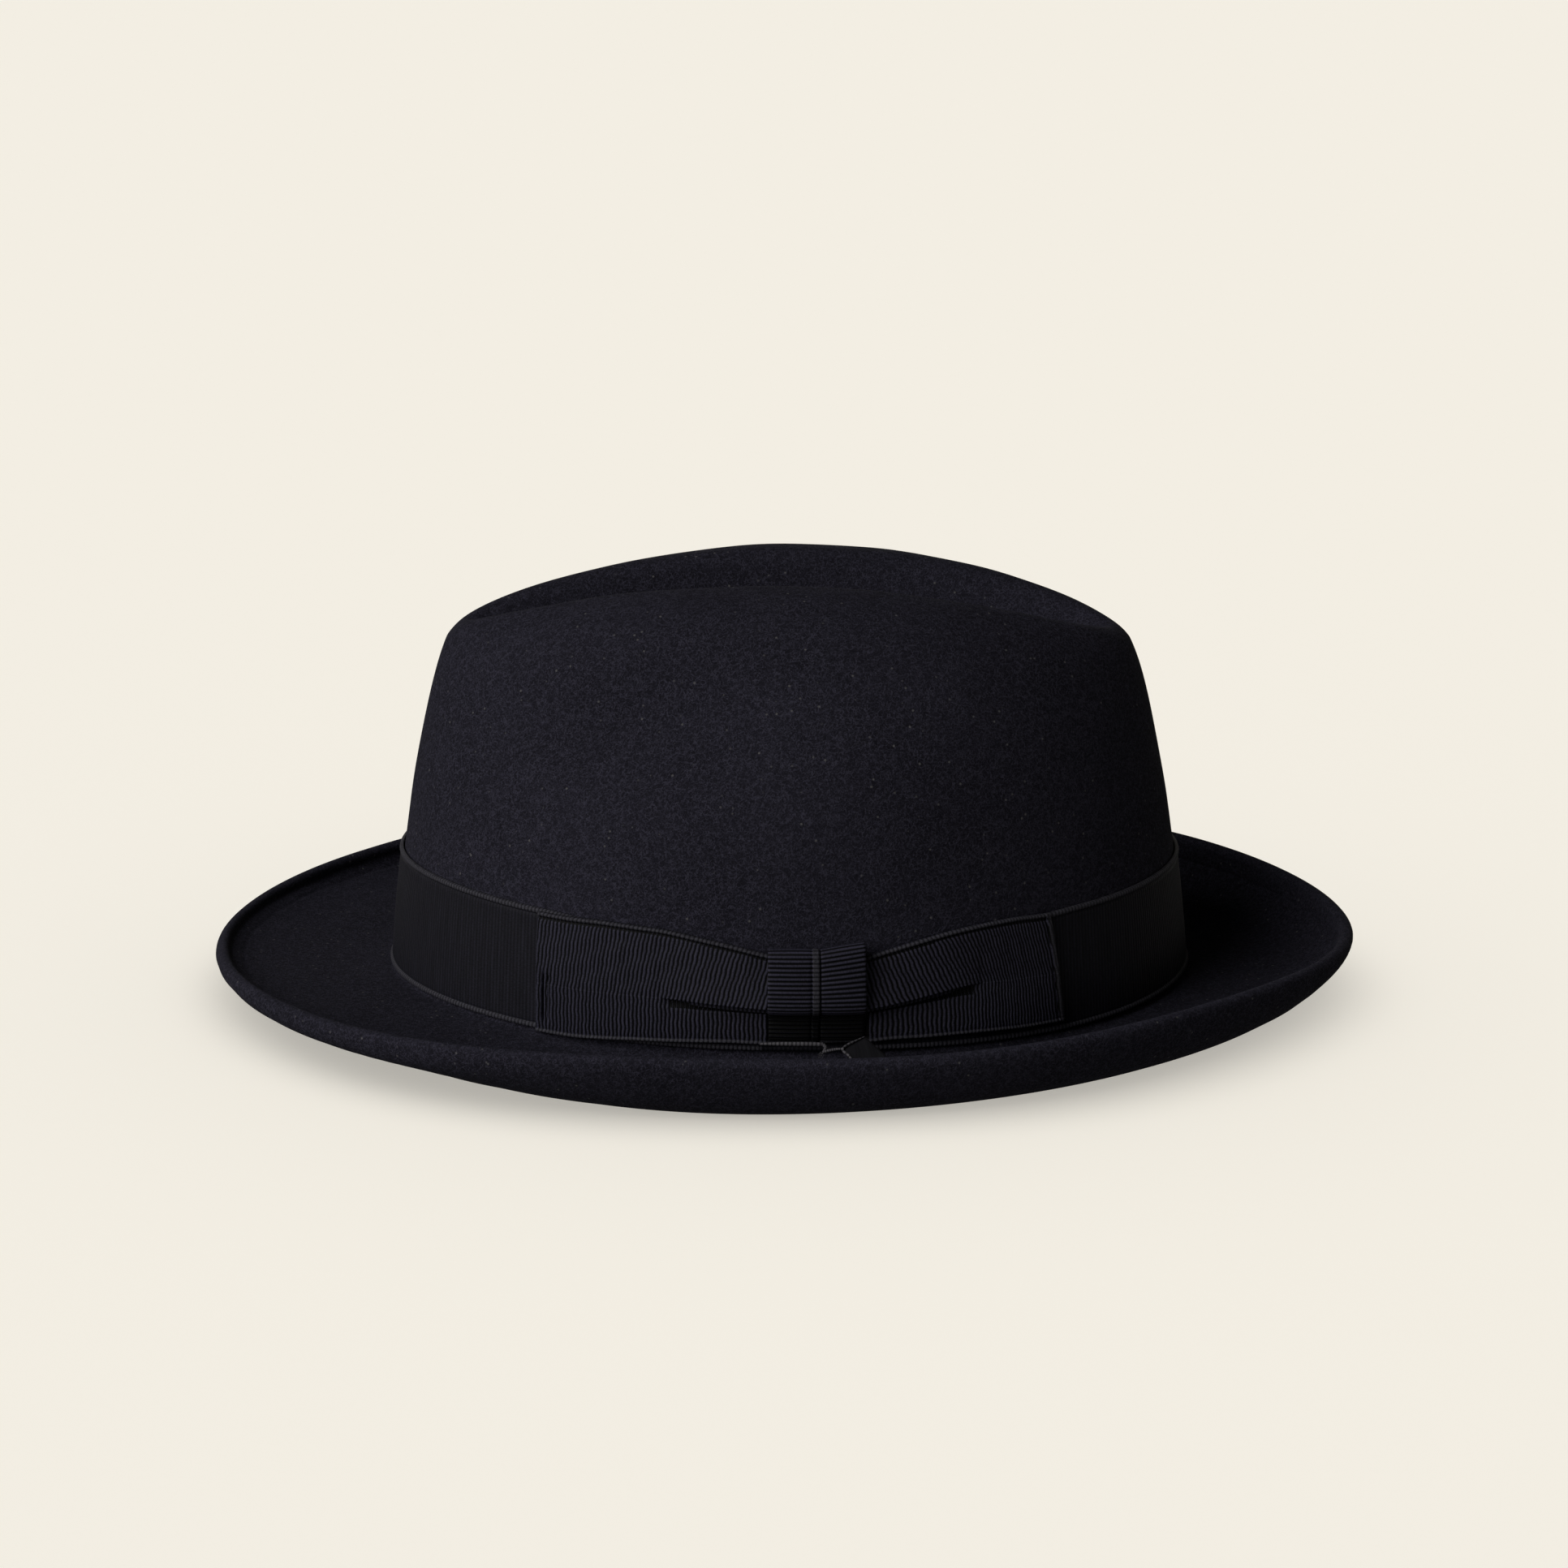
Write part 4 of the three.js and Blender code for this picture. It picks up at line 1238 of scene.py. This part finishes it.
@dataclass
class BowTail:
    """Folded end of the ribbon under the knot, and the worn edge that leads to it."""

    form: HatForm
    # corners of the folded end over the crown's foot plane: left, behind, right, front
    corners: tuple[tuple[float, float, float], ...] = (
        (13.3, -93.2, 4.3), (18.8, -88.9, 6.0), (25.1, -94.6, 1.9), (16.3, -98.0, 1.5),
    )
    thick: float = 0.7
    bow: float = 0.35
    steps: int = 14
    turns: int = 8
    hem_offset: tuple[float, float, float] = (0.0, -0.15, 0.25)
    loose_ends: int = 9
    frayed_at: tuple[float, float, float] = (8.0, -92.5, 2.9)
    fray_toward: tuple[float, float, float] = (-0.5, -0.3, -0.9)
    flat_m: tuple[float, float] = (0.013, 0.013)

    def plate(self, corners: Array) -> tuple[Array, list[list[int]], Array]:
        """Closed, slightly bowed plate of ribbon between four corners: its points, faces and weave marks."""
        steps = self.steps
        u, v = np.meshgrid(np.linspace(0, 1, steps), np.linspace(0, 1, steps), indexing="ij")
        a, b, c, d = corners
        upper = ((1 - u) * (1 - v))[..., None] * a + (u * (1 - v))[..., None] * b
        upper = upper + (u * v)[..., None] * c + ((1 - u) * v)[..., None] * d
        upper[..., 2] += self.bow * 16 * u * (1 - u) * v * (1 - v)
        lower = upper - np.array([0.0, 0.0, self.thick])
        count = steps * steps
        faces = [list(f) for f in grid_faces(steps, steps)]
        faces += [[i + count for i in f][::-1] for f in faces]
        rim = list(range(steps)) + [r * steps + steps - 1 for r in range(1, steps)]
        rim += [(steps - 1) * steps + c for c in range(steps - 2, -1, -1)]
        rim += [r * steps for r in range(steps - 2, 0, -1)]
        for one, two in zip(rim, rim[1:] + rim[:1]):
            faces.append([one, two, two + count, one + count])
        mark = np.stack([0 * v + 0.5, u * 2 + v], -1).reshape(-1, 2)
        points = np.concatenate([upper.reshape(-1, 3), lower.reshape(-1, 3)])
        return points, faces, np.concatenate([mark, mark])

    def tube(self, thread: Thread) -> Array:
        """Rings of points round a thread."""
        path, run = even_path(thread.points, thread.rings)
        radius = np.interp(run / run[-1], np.linspace(0, 1, len(thread.radii)), thread.radii)
        along = unit(np.gradient(path, axis=0))
        side = unit(np.cross(along, np.array([0.0, 0.3, 1.0])))
        up = np.cross(side, along)
        turns = np.linspace(0, 2 * np.pi, self.turns, endpoint=False)
        ring = np.cos(turns)[None, :, None] * side[:, None] + np.sin(turns)[None, :, None] * up[:, None]
        return path[:, None] + ring * radius[:, None, None]

    def threads(self, corners: Array) -> list[Thread]:
        """Hem of the folded end, the worn edge and its loose ends, where the hat stands."""
        place = np.array(self.form.place)
        a, b, _, d = corners
        hem = np.array([b, a, (a + d) / 2, d]) + np.array(self.hem_offset)
        threads = [Thread(hem, (0.1, 0.32, 0.34, 0.2), 30)]
        threads += [Thread(np.array(one.points) + place, one.radii, one.rings) for one in WORN_EDGE]
        rng = np.random.default_rng(4)
        for _ in range(self.loose_ends):
            start = np.array(self.frayed_at) + rng.normal(0, 0.25, 3)
            end = start + np.array(self.fray_toward) * rng.uniform(0.5, 1.4) + rng.normal(0, 0.3, 3)
            middle = (start + end) / 2 + rng.normal(0, 0.12, 3)
            threads.append(Thread(np.array([start, middle, end]) + place, (0.07, 0.06, 0.03), 8))
        return threads

    def build(self, material: bpy.types.Material) -> bpy.types.Object:
        """Builds and dresses the folded end and the worn edge as one piece."""
        corners = np.array(self.corners) + np.array(self.form.place)
        points, faces, weave = self.plate(corners)
        groups, weaves, edges = [points], [weave], [np.full((len(points), 2), (5.0, 99.0))]
        offset = len(points)
        for thread in self.threads(corners):
            count, size = thread.rings, thread.rings * self.turns
            groups.append(self.tube(thread).reshape(-1, 3))
            faces += [list(f + offset) for f in grid_faces(count, self.turns, close_columns=True)]
            for ring in (0, count - 1):
                faces.append([offset + ring * self.turns + i for i in range(self.turns)])
            run = np.repeat(np.arange(count) * 0.4, self.turns)
            weaves.append(np.stack([run, 0 * run], -1))
            edges.append(np.full((size, 2), (0.2, 99.0)))
            offset += size
        marks = {"weave": np.concatenate(weaves), "edge": np.concatenate(edges)}
        piece = make_piece("ribbon_bow_tail", np.concatenate(groups), faces, marks)
        dress(piece, material, Slot.RIBBON, "bow_tail")
        return piece


# Studio


@dataclass
class Studio:
    """Pale floor, soft light and the camera at the photograph's place."""

    floor_radius: float = 9.0
    target: tuple[float, float, float] = (-0.00016, 0.0, 0.0545)
    elevation: float = 15.0
    distance: float = 1.5
    lens: float = 131.09
    key_power: float = 5.5
    key_softness: float = 56.0
    key_from: tuple[float, float, float] = (-0.7, -0.46, 0.56)
    lamp_tint: tuple[float, float, float] = (1.0, 0.985, 0.96)
    overhead_power: float = 1.85
    overhead_softness: float = 130.0
    sky: float = 0.05
    horizon: float = 1.2
    below: float = 0.28
    floor_albedo: float = 0.8
    floor_glow: float = 0.49

    def floor(self) -> bpy.types.Object:
        """Makes the floor, which throws no light back on the hat."""
        shaped = bmesh.new()
        bmesh.ops.create_circle(shaped, cap_ends=True, radius=self.floor_radius, segments=96)
        mesh = bpy.data.meshes.new("floor")
        shaped.to_mesh(mesh)
        shaped.free()
        floor = bpy.data.objects.new("floor", mesh)
        bpy.context.scene.collection.objects.link(floor)
        finish = FloorFinish((*PALE, 1.0), self.floor_albedo, self.floor_glow)
        mesh.materials.append(finish.material())
        floor.visible_diffuse = False
        floor.visible_glossy = False
        return floor

    def lamp(
        self,
        name: str,
        power: float,
        softness: float,
        toward: tuple[float, float, float],
        floor: bpy.types.Object,
        shines_on: Lights,
    ) -> None:
        """Adds a distant soft light.

        Args:
            name: the light's name.
            power: its strength.
            softness: how wide it looks, in degrees.
            toward: where it stands, seen from the hat.
            floor: the floor.
            shines_on: whether the floor gets its light.
        """
        data = bpy.data.lights.new(name, "SUN")
        data.energy = power
        data.angle = math.radians(softness)
        data.color = self.lamp_tint
        lamp = bpy.data.objects.new(name, data)
        lamp.rotation_mode = "QUATERNION"
        lamp.rotation_quaternion = Vector(toward).to_track_quat("Z", "Y")
        bpy.context.scene.collection.objects.link(lamp)
        lit = bpy.data.collections.new(name + "_receivers")
        lit.objects.link(floor)
        lit.collection_objects[0].light_linking.link_state = shines_on.value
        lamp.light_linking.receiver_collection = lit

    def sky_light(self) -> None:
        """Makes the sky, pale at the horizon, dim overhead and nearly dark below."""
        world = bpy.data.worlds.new("sky")
        world.use_nodes = True
        graph = Graph.of_tree(world.node_tree, world.node_tree.nodes["Background"])
        upward = graph.node("ShaderNodeTexCoord", {}, {}, "Generated")
        height = graph.node("ShaderNodeSeparateXYZ", {}, {0: upward}, "Z")
        pale, dim = shade((*PALE, 1.0), self.horizon), shade((*PALE, 1.0), self.sky)
        upper = graph.blend(height.ramp(0.14, 0.3), pale, dim)
        graph.feed("Color", graph.blend(height.ramp(-0.1, 0.0), shade((*PALE, 1.0), self.below), upper))
        bpy.context.scene.world = world

    def camera(self) -> None:
        """Sets the camera at the photograph's viewing angle."""
        data = bpy.data.cameras.new("camera")
        data.lens = self.lens
        data.sensor_width = 36.0
        data.clip_start, data.clip_end = 0.05, 50.0
        camera = bpy.data.objects.new("camera", data)
        tilt = math.radians(self.elevation)
        back = Vector((0.0, -math.cos(tilt), math.sin(tilt)))
        camera.location = Vector(self.target) + back * self.distance
        camera.rotation_mode = "QUATERNION"
        camera.rotation_quaternion = back.to_track_quat("Z", "Y")
        bpy.context.scene.collection.objects.link(camera)
        bpy.context.scene.camera = camera

    def build(self) -> None:
        """Builds the floor, lights, sky and camera."""
        floor = self.floor()
        key, overhead = (self.key_power, self.key_softness), (self.overhead_power, self.overhead_softness)
        self.lamp("key", *key, self.key_from, floor, Lights.ALL_BUT_FLOOR)
        self.lamp("overhead", *overhead, (0.0, 0.0, 1.0), floor, Lights.FLOOR_ALONE)
        self.sky_light()
        self.camera()
        log.info("studio: floor, two soft lights, sky and camera")


def main() -> None:
    """Builds the studio and the hat, piece by piece."""
    logging.basicConfig(level=logging.INFO, format="%(name)s: %(message)s")
    bpy.context.scene.view_settings.view_transform = "Standard"
    Studio().build()
    form = FeltBody(HatForm()).build(FeltFinish().material())
    log.info("the hat stands %.2f mm over its drawn foot, %.2f mm along", form.place[2], form.place[0])
    weave = Grosgrain()
    ribbon = RibbonFinish().material()
    plain_ribbon = RibbonFinish(name="band_ribbon", top=(0.0078, 0.0076, 0.0118, 1.0), ribbed=0.3).material()
    smooth_black, pale_edge = (0.0052, 0.0051, 0.0062, 1.0), (0.042, 0.04, 0.045, 1.0)
    worn_ribbon = RibbonFinish(name="worn_ribbon", top=smooth_black, edge=pale_edge).material()
    HatBand(form, Grosgrain(bead=0.42, bead_width=1.3, groove=0.22, groove_width=0.5)).build(plain_ribbon)
    BowWing(form, weave, Wing.FRONT).build(ribbon)
    BowWing(form, weave, Wing.BACK).build(ribbon)
    KnotTurn(form, weave, "ribbon_knot_front", -6.05, 12.4, 0.0, True, "bow_knot_front").build(ribbon)
    KnotTurn(form, weave, "ribbon_knot_back", 5.87, 10.85, 1.6, False, "bow_knot_back").build(ribbon)
    BowTail(form).build(worn_ribbon)


if __name__ == "__main__":
    main()
